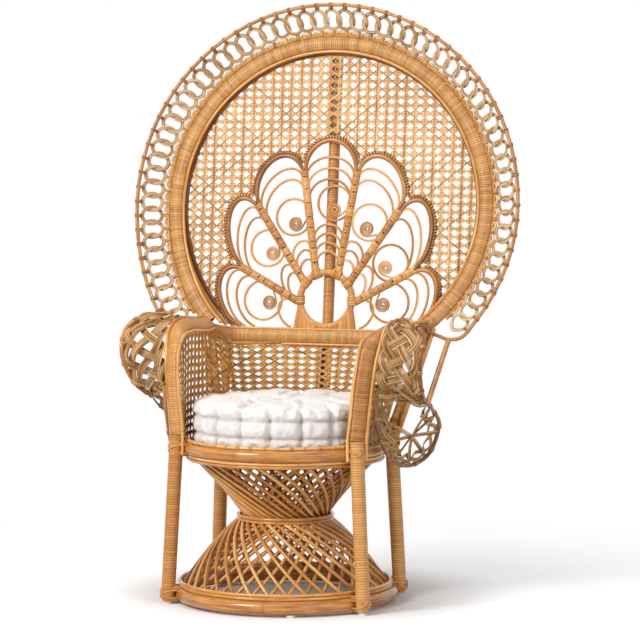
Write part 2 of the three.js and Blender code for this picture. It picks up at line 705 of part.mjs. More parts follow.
// One petal: a bent rod with nested arches near its tip, a loop for its scroll, and small arches at the hub
function petalFrame(petal, mirror) {
  const [first, second] = petalSides(petal, mirror);
  const outward = first[1].clone().add(second[1]).sub(first[0]).sub(second[0]);
  outward.z = 0;
  const length = outward.length() / 2;
  outward.normalize();
  const run = arch(first[1], second[1], PETAL_BULGE_SHARES[petal] * BAND_RADIUS, outward, PETAL_STEPS);
  const frame = petal === 0 ? [...run, second[0]] : [first[0], ...run, second[0]];
  const seat = petal > 0 && mirror > 0 ? first : second;
  const other = seat === first ? second : first;
  const loop = petalLoop(seat, other, LOOP_PLACE_SHARES[petal], LOOP_RADIUS_SHARES[petal] * BAND_RADIUS);
  const pieces = [rod(frame, PETAL_ROD, PETAL_SIDES), rod(loop.points, ARCH_ROD, ROD_SIDES)];
  const archRise = ARCH_RISE_SHARE * BAND_RADIUS;
  for (let i = 0; i < ARCH_COUNTS[petal]; i += 1) {
    const share = TIP_ARCH_SHARE - (ARCH_SPACING_SHARE * BAND_RADIUS * i) / length;
    const span = arch(alongSide(first, share), alongSide(second, share), archRise, outward, TIP_ARCH_STEPS);
    pieces.push(rod(span, ARCH_ROD, ROD_SIDES));
  }
  for (let i = 0; i < HUB_ARCH_COUNTS[petal]; i += 1) {
    const share = HUB_ARCH_SHARE + (HUB_ARCH_SPACING_SHARE * BAND_RADIUS * i) / length;
    const from = alongSide(first, share);
    const to = alongSide(second, share);
    const span = arch(from, to, from.distanceTo(to) / 2, outward, HUB_ARCH_STEPS);
    pieces.push(rod(span, ARCH_ROD, ROD_SIDES));
  }
  return { pieces, run, outward, seat, loopMiddle: loop.middle };
}

// A scroll: one unbroken rod with its tail on the side of a petal, wound inward to a tight eye
function scrollPoints(seat, loopMiddle, outward, handed) {
  const coilRadius = SCROLL_EYE + SCROLL_PITCH * SCROLL_TURNS;
  const centre = loopMiddle.clone().addScaledVector(outward, -SCROLL_DROP_SHARE * BAND_RADIUS);
  const hubward = seat[0].clone().sub(seat[1]).normalize();
  const way = wayToSide(loopMiddle, seat);
  const tail = loopMiddle.clone().add(way).addScaledVector(hubward, SCROLL_TAIL_SHARE * BAND_RADIUS);
  tail.addScaledVector(way.normalize(), -(petalFlat + (SCROLL_ROD / 2) * FACET_LEAN + CLEARANCE));
  const offset = tail.clone().sub(centre);
  const meet = Math.atan2(offset.y, offset.x) + handed * Math.acos(coilRadius / offset.length());
  const points = [tail];
  for (let i = 0; i <= SCROLL_TURNS * SCROLL_STEPS_PER_TURN; i += 1) {
    const turn = i / SCROLL_STEPS_PER_TURN;
    const angle = meet + handed * 2 * Math.PI * turn;
    const radius = coilRadius - SCROLL_PITCH * turn;
    points.push(onCircle(centre, radius, angle));
  }
  return points;
}

// Least distance between parts of one winding that are more than half a turn apart
function leastGap(points, diameter) {
  const apart = SCROLL_STEPS_PER_TURN / 2 + 2;
  let least = Infinity;
  for (let i = 0; i < points.length; i += 1) {
    for (let j = i + apart; j < points.length; j += 1) {
      least = Math.min(least, points[i].distanceTo(points[j]) - diameter);
    }
  }
  return least;
}

// Fan of seven petals on its rail, with the hub ring they spring from
function fan() {
  const rail = new THREE.BoxGeometry(railLength, RAIL_DEPTH, RAIL_THICKNESS);
  add("back_rail", rail.translate(0, -RAIL_DEPTH / 2, RAIL_THICKNESS / 2 - caneFront), WRAPPED_PEEL, back);
  const hub = new THREE.TorusGeometry(hubRadius, HUB_ROD / 2, HUB_SIDES, HUB_SEGMENTS);
  const hubUp = hubRadius + HUB_ROD / 2 + CLEARANCE;
  add("fan_hub", hub.translate(0, hubUp, petalForward), WRAPPED_PEEL, back);
  petalOrder.forEach(([petal, mirror], i) => {
    const { pieces, outward, seat, loopMiddle } = petalFrame(petal, mirror);
    add(`petal_${i + 1}`, fuse(pieces), WRAPPED_PEEL, back);
    const handed = petal === 0 && mirror > 0 ? 1 : -1;
    const points = scrollPoints(seat, loopMiddle, outward, handed);
    const gap = leastGap(points, SCROLL_ROD);
    console.log(`scroll_${i + 1}: least gap to itself ${gap.toFixed(2)} mm`);
    add(`scroll_${i + 1}`, rod(points, SCROLL_ROD, ROD_SIDES), RAW_CANE, back);
  });
}

// Whether a place lies inside a closed outline
function inside(place, outline) {
  let crossings = 0;
  outline.forEach((from, i) => {
    const to = outline[(i + 1) % outline.length];
    const spans = from.y > place.y !== to.y > place.y;
    const meet = from.x + ((place.y - from.y) / (to.y - from.y)) * (to.x - from.x);
    crossings += spans && place.x < meet ? 1 : 0;
  });
  return crossings % 2 === 1;
}

// Square of the given half width about a place, with its corners turned upright as cane eyes are
function eye(x, y, half) {
  const corners = [[half, 0], [0, half], [-half, 0], [0, -half]];
  return corners.map(([across, up]) => new THREE.Vector2(x + across, y + up));
}

// Cane sheet that fills the round back above the fan, with a plain grid of eyes
function caneField() {
  const hoopDip = caneHoopRadius * (1 - Math.cos((Math.PI - lowestAngle(caneHoopRadius)) / HOOP_STEPS));
  const radius = caneHoopRadius - hoopFlat - hoopDip - CLEARANCE;
  const foot = CANE_FOOT_SHARE * BAND_RADIUS;
  const start = -Math.asin((backCentreUp - foot) / radius);
  const shape = new THREE.Shape();
  shape.absarc(0, backCentreUp, radius, start, Math.PI - start, false);
  for (const [petal, mirror] of petalOrder) {
    const { run } = petalFrame(petal, mirror);
    const ordered = run[0].x < run[run.length - 1].x ? run : run.reverse();
    ordered.filter((point) => point.y > foot).forEach((point) => shape.lineTo(point.x, point.y));
  }
  const outline = shape.getPoints(HOOP_STEPS);
  const pitch = (2 * radius) / CANE_OPENINGS_ACROSS;
  const half = (pitch / 2) * (1 - CANE_BAR_SHARE);
  const options = { depth: CANE_THICKNESS, bevelEnabled: false, curveSegments: HOOP_STEPS };
  const cutOptions = { depth: 3 * CANE_THICKNESS, bevelEnabled: false };
  let sheet = solid(new THREE.ExtrudeGeometry(shape, options).translate(0, 0, -caneFront));
  for (let row = -CANE_OPENINGS_ACROSS; row <= CANE_OPENINGS_ACROSS; row += 1) {
    for (let column = -CANE_OPENINGS_ACROSS; column <= CANE_OPENINGS_ACROSS; column += 1) {
      const x = (column + (row % 2) / 2) * pitch;
      const y = backCentreUp + (row * pitch) / 2;
      const corners = eye(x, y, pitch / 2);
      const middles = corners.map((at, i) => at.clone().lerp(corners[(i + 1) % corners.length], 0.5));
      if ([...corners, ...middles].every((place) => inside(place, outline))) {
        const cut = new THREE.ExtrudeGeometry(new THREE.Shape(eye(x, y, half)), cutOptions);
        sheet = sheet.subtract(solid(cut.translate(0, 0, -3 * caneFront)));
      }
    }
  }
  add("cane_field", surface(sheet), RAW_CANE, back);
}

// Wrapped pole behind the fan, from the seat ring up to the hoop
function centrePole() {
  const behind = -(caneFront + CLEARANCE + CENTRE_POLE_DIAMETER / 2);
  const top = backCentreUp + caneHoopRadius - CANE_HOOP_DIAMETER / 2 - CLEARANCE;
  const seatReach = SEAT_RING_RADIUS + (SEAT_POLE_DIAMETER + CENTRE_POLE_DIAMETER) / 2 + CLEARANCE;
  const places = [
    new THREE.Vector3(0, seatReach, SEAT_RING_HEIGHT),
    back.localToWorld(new THREE.Vector3(0, -RAIL_DEPTH, behind)),
    back.localToWorld(new THREE.Vector3(0, top, behind)),
  ];
  add("centre_pole", pole(places, CENTRE_POLE_DIAMETER), WRAPPED_PEEL);
}

// Braces from the rear legs to the ends of the fan's rail
function braces() {
  for (const [side, sign] of [["left", -1], ["right", 1]]) {
    const foot = around(legReach(legTop, REAR_LEG_ANGLE), sign * REAR_LEG_ANGLE, legTop + CLEARANCE);
    const middle = RAIL_THICKNESS / 2 - caneFront;
    const railEnd = (sign * (railLength - BRACE_DIAMETER)) / 2;
    const head = back.localToWorld(new THREE.Vector3(railEnd, -RAIL_DEPTH, middle));
    head.z -= Math.tan(BACK_LEAN) * (RAIL_THICKNESS / 2) + CLEARANCE;
    add(`back_brace_${side}`, pole([foot, head], BRACE_DIAMETER), VARNISHED_POLE);
  }
}

// Place given by its distance outside the seat ring, its depth and its height above the seat ring
function bySeat([out, depth, up]) {
  return new THREE.Vector3(SEAT_RING_RADIUS + out, depth, SEAT_RING_HEIGHT + up);
}

// Woven shell that rises from the seat ring to the arms and the fan's rail
function lowerShell() {
  const railUnder = back.localToWorld(new THREE.Vector3(0, -RAIL_DEPTH - CLEARANCE, petalForward));
  railUnder.z -= 3 * CLEARANCE;
  const besideMiddle = railUnder.clone().add(new THREE.Vector3(SHELL_BACK_HALF, -SHELL_BACK_CURVE, 0));
  const right = [railUnder, besideMiddle, ...SHELL_ARM_ROUTE.map(bySeat)];
  const left = right.slice(1).reverse().map((point) => new THREE.Vector3(-point.x, point.y, point.z));
  const top = new THREE.CatmullRomCurve3([...left, ...right]);
  const foot = seatRingTop + CLEARANCE;
  const stations = [];
  for (let i = 0; i <= SHELL_STEPS; i += 1) {
    const share = i / SHELL_STEPS;
    const side = THREE.MathUtils.lerp(-1, 1, share);
    const angle = side * (Math.PI - FRONT_LEG_ANGLE - SHELL_FRONT_GAP);
    const flare = SHELL_FRONT_FLARE * side ** SHELL_FLARE_POWER;
    const low = around(SEAT_RING_RADIUS + SHELL_FOOT_OUT + flare, Math.PI - angle, foot);
    const high = top.getPointAt(share);
    const inward = around(1, Math.PI - angle, 0).multiplyScalar(-SHELL_THICKNESS / 2);
    const outside = [low, high].map((place) => place.clone().sub(inward));
    stations.push([...outside, high.add(inward), low.add(inward)]);
  }
  add("lower_shell", loft(stations, [SHELL_INNER_SIDE]), RAW_CANE);
}

const bandFront = bandForward + BAND_THICKNESS / 2;
const corner = back.localToWorld(onHoop(BAND_RADIUS, lowestAngle(BAND_RADIUS), bandFront));

// Sweep of one arm: up from the leg, over, and back to the foot of the round back
function armStations(sign) {
  const foot = around(legReach(legTop, FRONT_LEG_ANGLE), FRONT_LEG_ANGLE, legTop + CLEARANCE);
  const end = corner.clone();
  end.y -= 3 * CLEARANCE;
  const route = [foot, ...ARM_ROUTE.map(bySeat), end];
  route.forEach((point) => point.setX(sign * point.x));
  const path = new THREE.CatmullRomCurve3(route);
  const stations = [];
  for (let i = 0; i <= ARM_STEPS; i += 1) {
    const share = i / ARM_STEPS;
    const roll = THREE.MathUtils.smoothstep(share, ...ARM_ROLL_SHARES);
    const post = new THREE.Vector3(sign * Math.cos(ARM_TURN), Math.sin(ARM_TURN), 0);
    const top = new THREE.Vector3(sign * Math.cos(ARM_ROLL), 0, Math.sin(ARM_ROLL));
    const tangent = i === 0 ? new THREE.Vector3(0, 0, 1) : path.getTangentAt(share);
    const across = post.lerp(top, roll);
    across.addScaledVector(tangent, -across.dot(tangent)).normalize();
    const face = new THREE.Vector3().crossVectors(tangent, across);
    stations.push({ place: path.getPointAt(share), across, face });
  }
  return stations;
}

// Edge rod of an arm; it starts beside the leg, below the seat ring
function armTrimPoints(stations, side) {
  const offset = side * (ARM_WIDTH / 2 + CLEARANCE + TRIM_DIAMETER / 2);
  const points = stations.map(({ place, across }) => place.clone().addScaledVector(across, offset));
  const low = points[0].clone();
  low.z = seatRingUnder;
  return [low, ...points];
}

// Route of a wing's frame rod: off the arm's outer rod, round the open side, and back to the front post
function wingPoints(sign, outerTrim) {
  const reach = ((TRIM_DIAMETER + WING_ROD) / 2) * FACET_LEAN;
  const side = new THREE.Vector3(sign * reach, 0, 0);
  const [start, end] = [WING_START_SHARE, WING_END_SHARE].map((share) =>
    outerTrim[Math.round(share * ARM_STEPS) + 1].clone().add(side));
  const route = WING_ROUTE.map(bySeat);
  route.forEach((point) => point.setX(sign * point.x));
  return smooth([start, ...route, end], WING_STEPS);
}

// One wing: a bent frame rod that carries crossing strips
function wing(points) {
  const steps = WING_RIB_SHARES.map((share) => Math.round(share * WING_STEPS));
  const ribs = steps.map((step) => [points[step], points[WING_STEPS - step]]);
  const pieces = [rod(points, WING_ROD, HOOP_SIDES), ...ribs.map((rib) => rod(rib, WING_STRIP, ROD_SIDES))];
  for (const share of WING_STRIP_SHARES) {
    pieces.push(rod(ribs.map(([start, end]) => start.clone().lerp(end, share)), WING_STRIP, ROD_SIDES));
  }
  return fuse(pieces);
}

// Thin pole that hangs the back of a wing from the low end of the border's rim
function stay(wingPlace, sign) {
  const rimEnd = back.localToWorld(rimTail()[0]);
  const head = new THREE.Vector3(sign * rimEnd.x, rimEnd.y, rimEnd.z);
  const drop = wingPlace.clone().sub(head).normalize();
  head.addScaledVector(drop, RIM_DIAMETER / 2 + STAY_DIAMETER / 4 + CLEARANCE);
  const apart = ((WING_ROD + STAY_DIAMETER) / 2) * FACET_LEAN + 4 * CLEARANCE;
  const foot = wingPlace.clone().addScaledVector(drop, -apart);
  return rod([head, foot], STAY_DIAMETER, STAY_SIDES);
}

function armsAndWings() {
  for (const [side, sign] of [["left", -1], ["right", 1]]) {
    const stations = armStations(sign);
    add(`arm_band_${side}`, band(stations, ARM_WIDTH, ARM_THICKNESS), WRAPPED_PEEL);
    const outer = armTrimPoints(stations, 1);
    const inner = armTrimPoints(stations, -1);
    add(`arm_outer_trim_${side}`, rod(outer, TRIM_DIAMETER, HOOP_SIDES), VARNISHED_POLE);
    add(`arm_inner_trim_${side}`, rod(inner, TRIM_DIAMETER, HOOP_SIDES), VARNISHED_POLE);
    const frame = wingPoints(sign, outer);
    add(`wing_${side}`, wing(frame), RAW_CANE);
    add(`wing_stay_${side}`, stay(frame[Math.round(WING_STAY_SHARE * WING_STEPS)], sign), VARNISHED_POLE);
  }
}

rings();
pedestal();
seatDeck();
cushion();
legsAndGlides();
backHoops();
linkedBorder();
fan();
caneField();
centrePole();
braces();
lowerShell();
armsAndWings();

// The origin lies on the floor under the middle of the chair's box
const extent = new THREE.Box3().setFromObject(chair);
chair.position.y = -(extent.min.y + extent.max.y) / 2;

export default chair;
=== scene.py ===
# %% [markdown]
# # A peacock chair, woven strand by strand
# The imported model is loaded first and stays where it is. Its solids say where every pole, ring and petal
# sits, and the cells below dress them in the peel, cane and cotton of the real chair. Pieces are modelled
# in millimetres about the middle of the pedestal, and are carried into the frame when they are finished.

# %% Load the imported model
from math import asin, cos, pi, radians, sin, sqrt, tau

import bmesh
import bpy
import numpy as np
from mathutils import Matrix, Vector


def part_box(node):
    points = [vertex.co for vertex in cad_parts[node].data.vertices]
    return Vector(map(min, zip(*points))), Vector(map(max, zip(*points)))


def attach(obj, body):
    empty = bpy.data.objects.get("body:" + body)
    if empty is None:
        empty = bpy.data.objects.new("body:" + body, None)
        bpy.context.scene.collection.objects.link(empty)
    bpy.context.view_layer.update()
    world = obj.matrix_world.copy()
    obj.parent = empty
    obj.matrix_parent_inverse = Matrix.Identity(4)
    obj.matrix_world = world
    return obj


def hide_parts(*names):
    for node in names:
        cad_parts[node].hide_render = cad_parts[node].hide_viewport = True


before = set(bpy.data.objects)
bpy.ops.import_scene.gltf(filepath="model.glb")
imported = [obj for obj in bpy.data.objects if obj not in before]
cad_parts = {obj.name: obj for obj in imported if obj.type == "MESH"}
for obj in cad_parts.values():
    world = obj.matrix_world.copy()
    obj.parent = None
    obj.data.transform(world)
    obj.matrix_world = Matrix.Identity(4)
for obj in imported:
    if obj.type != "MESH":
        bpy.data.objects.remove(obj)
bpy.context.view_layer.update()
floor_low, floor_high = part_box("base_ring")
AXIS_Y = (floor_low[1] + floor_high[1]) / 2
MM = 0.001
TO_FRAME = Matrix.Translation((0, AXIS_Y, 0)) @ Matrix.Scale(MM, 4)
draws = np.random.default_rng(11)
SIDES = (("left", -1), ("right", 1))
print(f"{len(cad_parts)} solids, pedestal axis at y = {AXIS_Y:.4f} m")

# %% [markdown]
# ## Shader sums
# A finish is a small tree of nodes. Nodes could be placed and linked one by one, but then a sum such as
# `1 - groove` takes four lines. One class wraps a socket and turns Python's operators into Math nodes, and
# one method adds every other kind of node.


# %% A value that flows through the nodes
class Value:
    def __init__(self, finish, socket):
        self.finish = finish
        self.socket = socket

    def __add__(self, other):
        return self.finish.sum_node("ADD", self, other)

    def __sub__(self, other):
        return self.finish.sum_node("SUBTRACT", self, other)

    def __rsub__(self, other):
        return self.finish.sum_node("SUBTRACT", other, self)

    def __mul__(self, other):
        return self.finish.sum_node("MULTIPLY", self, other)

    def __mod__(self, other):
        return self.finish.sum_node("FLOORED_MODULO", self, other)

    def __pow__(self, other):
        return self.finish.sum_node("POWER", self, other)

    __radd__ = __add__
    __rmul__ = __mul__


# %% A finish: one material and the way to add its nodes
class Finish:
    def __init__(self, name, constants):
        self.material = bpy.data.materials.new(name)
        self.material.use_nodes = True
        self.tree = self.material.node_tree
        self.skin = self.tree.nodes["Principled BSDF"]
        for socket, value in constants.items():
            self.skin.inputs[socket].default_value = value

    def node(self, kind, settings, inputs, out=0):
        made = self.tree.nodes.new(kind)
        for name, value in settings.items():
            if name == "stops":
                for stop in value[2:]:
                    made.color_ramp.elements.new(stop[0])
                for element, (place, colour) in zip(made.color_ramp.elements, value):
                    element.position = place
                    element.color = colour
            else:
                setattr(made, name, value)
        for socket, value in inputs.items():
            self.feed(made.inputs[socket], value)
        return Value(self, made.outputs[out])

    def feed(self, socket, value):
        if isinstance(value, Value):
            self.tree.links.new(value.socket, socket)
        else:
            socket.default_value = value

    def sum_node(self, operation, *values):
        return self.node("ShaderNodeMath", {"operation": operation}, dict(enumerate(values)))

    def read(self, name, out="Fac"):
        return self.node("ShaderNodeAttribute", {"attribute_name": name}, {}, out)

    def stretch(self, vector, scale):
        return self.node("ShaderNodeVectorMath", {"operation": "MULTIPLY"}, {0: vector, 1: scale})

    def noise(self, vector, scale, detail=3.0):
        return self.node("ShaderNodeTexNoise", {}, {"Vector": vector, "Scale": scale, "Detail": detail})

    def ramp(self, value, stops):
        return self.node("ShaderNodeValToRGB", {"stops": stops}, {"Fac": value})

    def mix(self, share, first, second):
        settings = {"data_type": "RGBA", "clamp_factor": True}
        return self.node("ShaderNodeMix", settings, {0: share, 6: first, 7: second}, 2)

    def bump(self, height, strength, distance):
        inputs = {"Height": height, "Strength": strength, "Distance": distance}
        return self.node("ShaderNodeBump", {}, inputs)

    def wear(self, links):
        for socket, value in links.items():
            self.feed(self.skin.inputs[socket], value)


def paint(red, green, blue):
    return tuple(((part / 255 + 0.055) / 1.055) ** 2.4 for part in (red, green, blue)) + (1.0,)


print("shader sums ready")

# %% [markdown]
# ## Rattan finishes
# Rattan has long fibres, so its colour runs in streaks along each pole. Every strand carries its own
# `grain` coordinates, across the section and along the length, and the streaks are noise stretched along
# them. Wound peel adds a count of its turns: each turn gets its own tone, the streaks calm down, and the
# groove between two turns is painted dark as shade. Poles show the dark rings of their knots. Varnish is a
# clear coat on the poles, thinner on the peel and almost absent on the cane. One function makes all of these,
# and a finish only differs in its four tones, from dark to light, and in a few shares.

# %% Rattan and its treatments
STREAK_SCALE, FIBRE_SCALE, BLOTCH_SCALE = (0.42, 0.42, 0.011), (2.2, 2.2, 0.06), (0.05, 0.05, 0.02)
STREAK_SHARE, BLOTCH_SHARE, FIBRE_SHARE, TINT_SHARE = 0.62, 0.25, 0.2, 0.2
MEAN_STREAK, TONE_SHIFT = 0.43, 0.14
TONE_STEPS = (0.27, 0.43, 0.57, 0.75)
# The groove colour is painted shade in the recess between two turns of peel; the knot colour is the real dark
# of the knots.
GROOVE_SHADE_COLOUR, KNOT_COLOUR = (78, 43, 18), (86, 50, 24)
GROOVE_POWER, KNOT_POWER, KNOT_SHARE = 3.5, 90.0, 0.75
TURN_SPREAD, GROOVE_SHADE_SHARE, CALM_RATE = 0.08, 0.95, 10
GLOSS = {"Coat Roughness": 0.16, "Specular IOR Level": 0.22}
FIBRE_ROUGH, GROOVE_ROUGH, ROUGH_SHIFT = 0.16, 0.15, 0.08
RELIEF_STRENGTH, RELIEF_DEPTH = 0.25, 0.0006


def rattan(name, tones, roughness, coat, wound_peel=False, knots=0):
    finish = Finish(name, {"Coat Weight": coat, **GLOSS})
    turn_spread, groove_shade_share = (TURN_SPREAD, GROOVE_SHADE_SHARE) if wound_peel else (0.0, 0.0)
    grain = finish.read("grain", "Vector")
    streak = finish.noise(finish.stretch(grain, STREAK_SCALE), 1.0, 4.0)
    fibre = finish.noise(finish.stretch(grain, FIBRE_SCALE), 1.0, 2.0)
    blotch = finish.noise(finish.stretch(grain, BLOTCH_SCALE), 1.0, 2.0)
    turn = finish.read("turn")
    place = turn % 1.0
    bow = place * (1.0 - place) * 4.0
    groove = (1.0 - bow) ** GROOVE_POWER
    shade = finish.node("ShaderNodeTexWhiteNoise", {"noise_dimensions": "1D"}, {"W": turn - place})
    calm = 1 - CALM_RATE * turn_spread
    tone = (streak * STREAK_SHARE + blotch * BLOTCH_SHARE) * calm + MEAN_STREAK * (1 - calm)
    tone = tone + fibre * FIBRE_SHARE + finish.read("tint") * TINT_SHARE
    tone = tone + shade * turn_spread - (TONE_SHIFT + turn_spread * 0.5)
    colour = finish.ramp(tone, [(step, paint(*each)) for step, each in zip(TONE_STEPS, tones)])
    # Painted shade: the groove between two turns is darkened.
    colour = finish.mix(groove * groove_shade_share, colour, paint(*GROOVE_SHADE_COLOUR))
    if knots:
        along = finish.node("ShaderNodeSeparateXYZ", {}, {0: grain}, 2)
        ring = (along * (1 / knots)) % 1.0
        knot = (ring * (1.0 - ring) * -4.0 + 1.0) ** KNOT_POWER
        colour = finish.mix(knot * KNOT_SHARE, colour, paint(*KNOT_COLOUR))
    rough = fibre * FIBRE_ROUGH + groove * GROOVE_ROUGH + (roughness - ROUGH_SHIFT)
    relief = fibre * 0.5 + streak * 0.5
    normal = finish.bump(relief, RELIEF_STRENGTH, RELIEF_DEPTH)
    finish.wear({"Base Color": colour, "Roughness": rough, "Normal": normal})
    return finish


HONEY = [(136, 78, 30), (194, 128, 58), (222, 162, 88), (246, 206, 146)]
PEEL = [(126, 76, 34), (208, 154, 90), (234, 184, 120), (248, 216, 164)]
CANE = [(102, 58, 20), (182, 124, 58), (214, 162, 94), (240, 204, 146)]
KNOT = [(74, 42, 16), (154, 110, 62), (208, 168, 116), (242, 214, 172)]
AGED = [(106, 58, 22), (190, 128, 64), (218, 160, 92), (242, 200, 138)]
WEAVE = [(106, 60, 22), (192, 138, 76), (232, 186, 124), (252, 222, 170)]
PALE = [(112, 78, 46), (184, 146, 104), (214, 180, 140), (238, 214, 182)]
DARK = [(84, 44, 16), (146, 90, 40), (182, 122, 62), (216, 166, 104)]
# Painted shade: dark tones for the bare centre pole, which shows only through the cane of the sheet and the
# shell.
PAINTED_SHADE_TONES = [(66, 34, 12), (114, 68, 28), (146, 94, 46), (176, 122, 68)]
# Partly the binding's own dark colour, partly painted shade for the shadow at the stitches and where the
# sheet meets the hoop.
BINDING_AND_SHADE_TONES = [(48, 24, 8), (92, 52, 20), (132, 82, 36), (170, 116, 60)]
varnished_pole = rattan("varnished_pole", HONEY, 0.28, 0.6, knots=310)
darker_pole = rattan("darker_pole", DARK, 0.3, 0.45, knots=210)
painted_shade_pole = rattan("painted_shade_pole", PAINTED_SHADE_TONES, 0.4, 0.3, knots=260)
wrapped_peel = rattan("wrapped_peel", PEEL, 0.4, 0.2, wound_peel=True)
aged_peel = rattan("aged_peel", AGED, 0.36, 0.3, wound_peel=True)
raw_cane = rattan("raw_cane", CANE, 0.5, 0.12)
woven_cane = rattan("woven_cane", WEAVE, 0.5, 0.12)
pale_cane = rattan("pale_cane", PALE, 0.55, 0.06)
knotted_cane = rattan("knotted_cane", KNOT, 0.55, 0.06)
dark_binding_and_painted_shade = rattan("dark_binding_and_painted_shade", BINDING_AND_SHADE_TONES, 0.5, 0.1)
print("ten rattan finishes")

# %% [markdown]
# ## Cotton and nylon
# The cushion is bleached cotton drill: a fine over-and-under weave that shows only close up, with faint
# clouding from handling, and painted shade along its seams, tucks and folds. The glides are moulded nylon
# with a slight mould texture.
# Both read Object coordinates, since neither has a grain that runs along a path.

# %% White cloth and white glides
THREAD = 0.0014
COTTON = [(0.3, paint(216, 211, 207)), (0.7, paint(236, 232, 228))]
NYLON = [(0.35, paint(214, 212, 206)), (0.65, paint(238, 238, 234))]
# Painted shade for the creases of the cushion: its seams, tucks and top folds.
CREASE_SHADE_COLOUR, CREASE_SHADE_SHARE = (150, 136, 126), 0.6
CLOUD_SCALE, SLUB_SCALE, CLOUD_SHARE = 18.0, (90.0, 90.0, 900.0), 0.8
COTTON_ROUGH, SLUB_ROUGH, COTTON_RELIEF, COTTON_DEPTH = 0.84, 0.1, 0.18, 0.0006
SPECK_SCALE, SCUFF_SCALE = 1400.0, 160.0
NYLON_ROUGH, SCUFF_ROUGH, NYLON_RELIEF, NYLON_DEPTH = 0.35, 0.2, 0.15, 0.0003


def cotton_cloth():
    finish = Finish("white_cotton", {"Sheen Weight": 0.25, "Sheen Roughness": 0.6})
    place = finish.node("ShaderNodeTexCoord", {}, {}, "Object")
    parts = [finish.node("ShaderNodeSeparateXYZ", {}, {0: place}, k) for k in range(3)]
    threads = [finish.sum_node("SINE", part * (tau / THREAD)) for part in parts]
    weave = threads[0] * threads[1] + threads[2] * 0.5
    clouds = finish.noise(place, CLOUD_SCALE, 4.0)
    slubs = finish.noise(finish.stretch(place, SLUB_SCALE), 1.0, 2.0)
    colour = finish.ramp(clouds * CLOUD_SHARE + slubs * (1 - CLOUD_SHARE), COTTON)
    # Painted shade along the seams, tucks and folds.
    colour = finish.mix(finish.read("seam") * CREASE_SHADE_SHARE, colour, paint(*CREASE_SHADE_COLOUR))
    rough = slubs * SLUB_ROUGH + COTTON_ROUGH
    normal = finish.bump(weave * 0.5 + slubs, COTTON_RELIEF, COTTON_DEPTH)
    finish.wear({"Base Color": colour, "Roughness": rough, "Normal": normal})
    return finish


def moulded_nylon():
    finish = Finish("white_nylon", {"Coat Weight": 0.0})
    place = finish.node("ShaderNodeTexCoord", {}, {}, "Object")
    speck = finish.noise(place, SPECK_SCALE, 2.0)
    scuff = finish.noise(place, SCUFF_SCALE, 3.0)
    colour = finish.ramp(scuff, NYLON)
    rough = scuff * SCUFF_ROUGH + NYLON_ROUGH
    normal = finish.bump(speck, NYLON_RELIEF, NYLON_DEPTH)
    finish.wear({"Base Color": colour, "Roughness": rough, "Normal": normal})
    return finish


white_cotton = cotton_cloth()
white_nylon = moulded_nylon()
print("cotton and nylon finishes")

# %% [markdown]
# ## One strand
# Nearly everything here is a strand: a pole, a rod, a flat strip of cane or a turn of peel. A curve with a
# bevel could make one, but it carries no grain along its length and no turns. So a flat grid is rolled into
# a tube about a path: one side of the grid runs along the path and the other round the section. Doubles are
# merged to close the seam, and the open ends are filled.


# %% Paths and their lengths
def lengths(path):
    steps = np.linalg.norm(np.diff(path, axis=0), axis=1)
    return np.concatenate([[0.0], np.cumsum(steps)])


def walk(path, places, values=None):
    along = lengths(path)
    columns = np.asarray(path if values is None else values, float).T
    return np.column_stack([np.interp(places, along, column) for column in columns])


def evenly(path, step):
    total = lengths(path)[-1]
    return walk(path, np.linspace(0, total, max(2, round(total / step) + 1)))


def bend(points, per_span=12):
    points = np.asarray(points, float)
    points = np.vstack([2 * points[0] - points[1], points, 2 * points[-1] - points[-2]])
    run = []
    for a, b, c, d in zip(points, points[1:], points[2:], points[3:]):
        spans = [np.linalg.norm(q - p) ** 0.5 for p, q in ((a, b), (b, c), (c, d))]
        knots = np.concatenate([[0], np.cumsum(spans)])
        for t in np.linspace(knots[1], knots[2], per_span, endpoint=False):
            def between(p, q, first, last):
                return p + (q - p) * (t - knots[first]) / (knots[last] - knots[first])

            ab, bc, cd = between(a, b, 0, 1), between(b, c, 1, 2), between(c, d, 2, 3)
            run.append(between(between(ab, bc, 0, 2), between(bc, cd, 1, 3), 1, 2))
    return np.vstack(run + [points[-2]])


def unit(vectors):
    vectors = np.asarray(vectors, float)
    return vectors / np.linalg.norm(vectors, axis=-1, keepdims=True)


print("path helpers ready")


# %% A grid rolled into a strand
SCRATCH = bpy.data.meshes.new("one_strand")
GRAIN_APART = 5000
MERGE_REACH = 0.001


def new_piece():
    bm = bmesh.new()
    bm.verts.layers.float_vector.new("grain")
    bm.verts.layers.float.new("tint")
    bm.verts.layers.float.new("turn")
    return bm


def carried(tangent):
    facing = np.empty_like(tangent)
    start = np.cross(tangent[0], (0.0, 0.0, 1.0))
    if np.linalg.norm(start) < 0.1:
        start = np.cross(tangent[0], (1.0, 0.0, 0.0))
    facing[0] = unit(start)
    for i in range(1, len(tangent)):
        facing[i] = unit(facing[i - 1] - tangent[i] * (facing[i - 1] @ tangent[i]))
    return facing


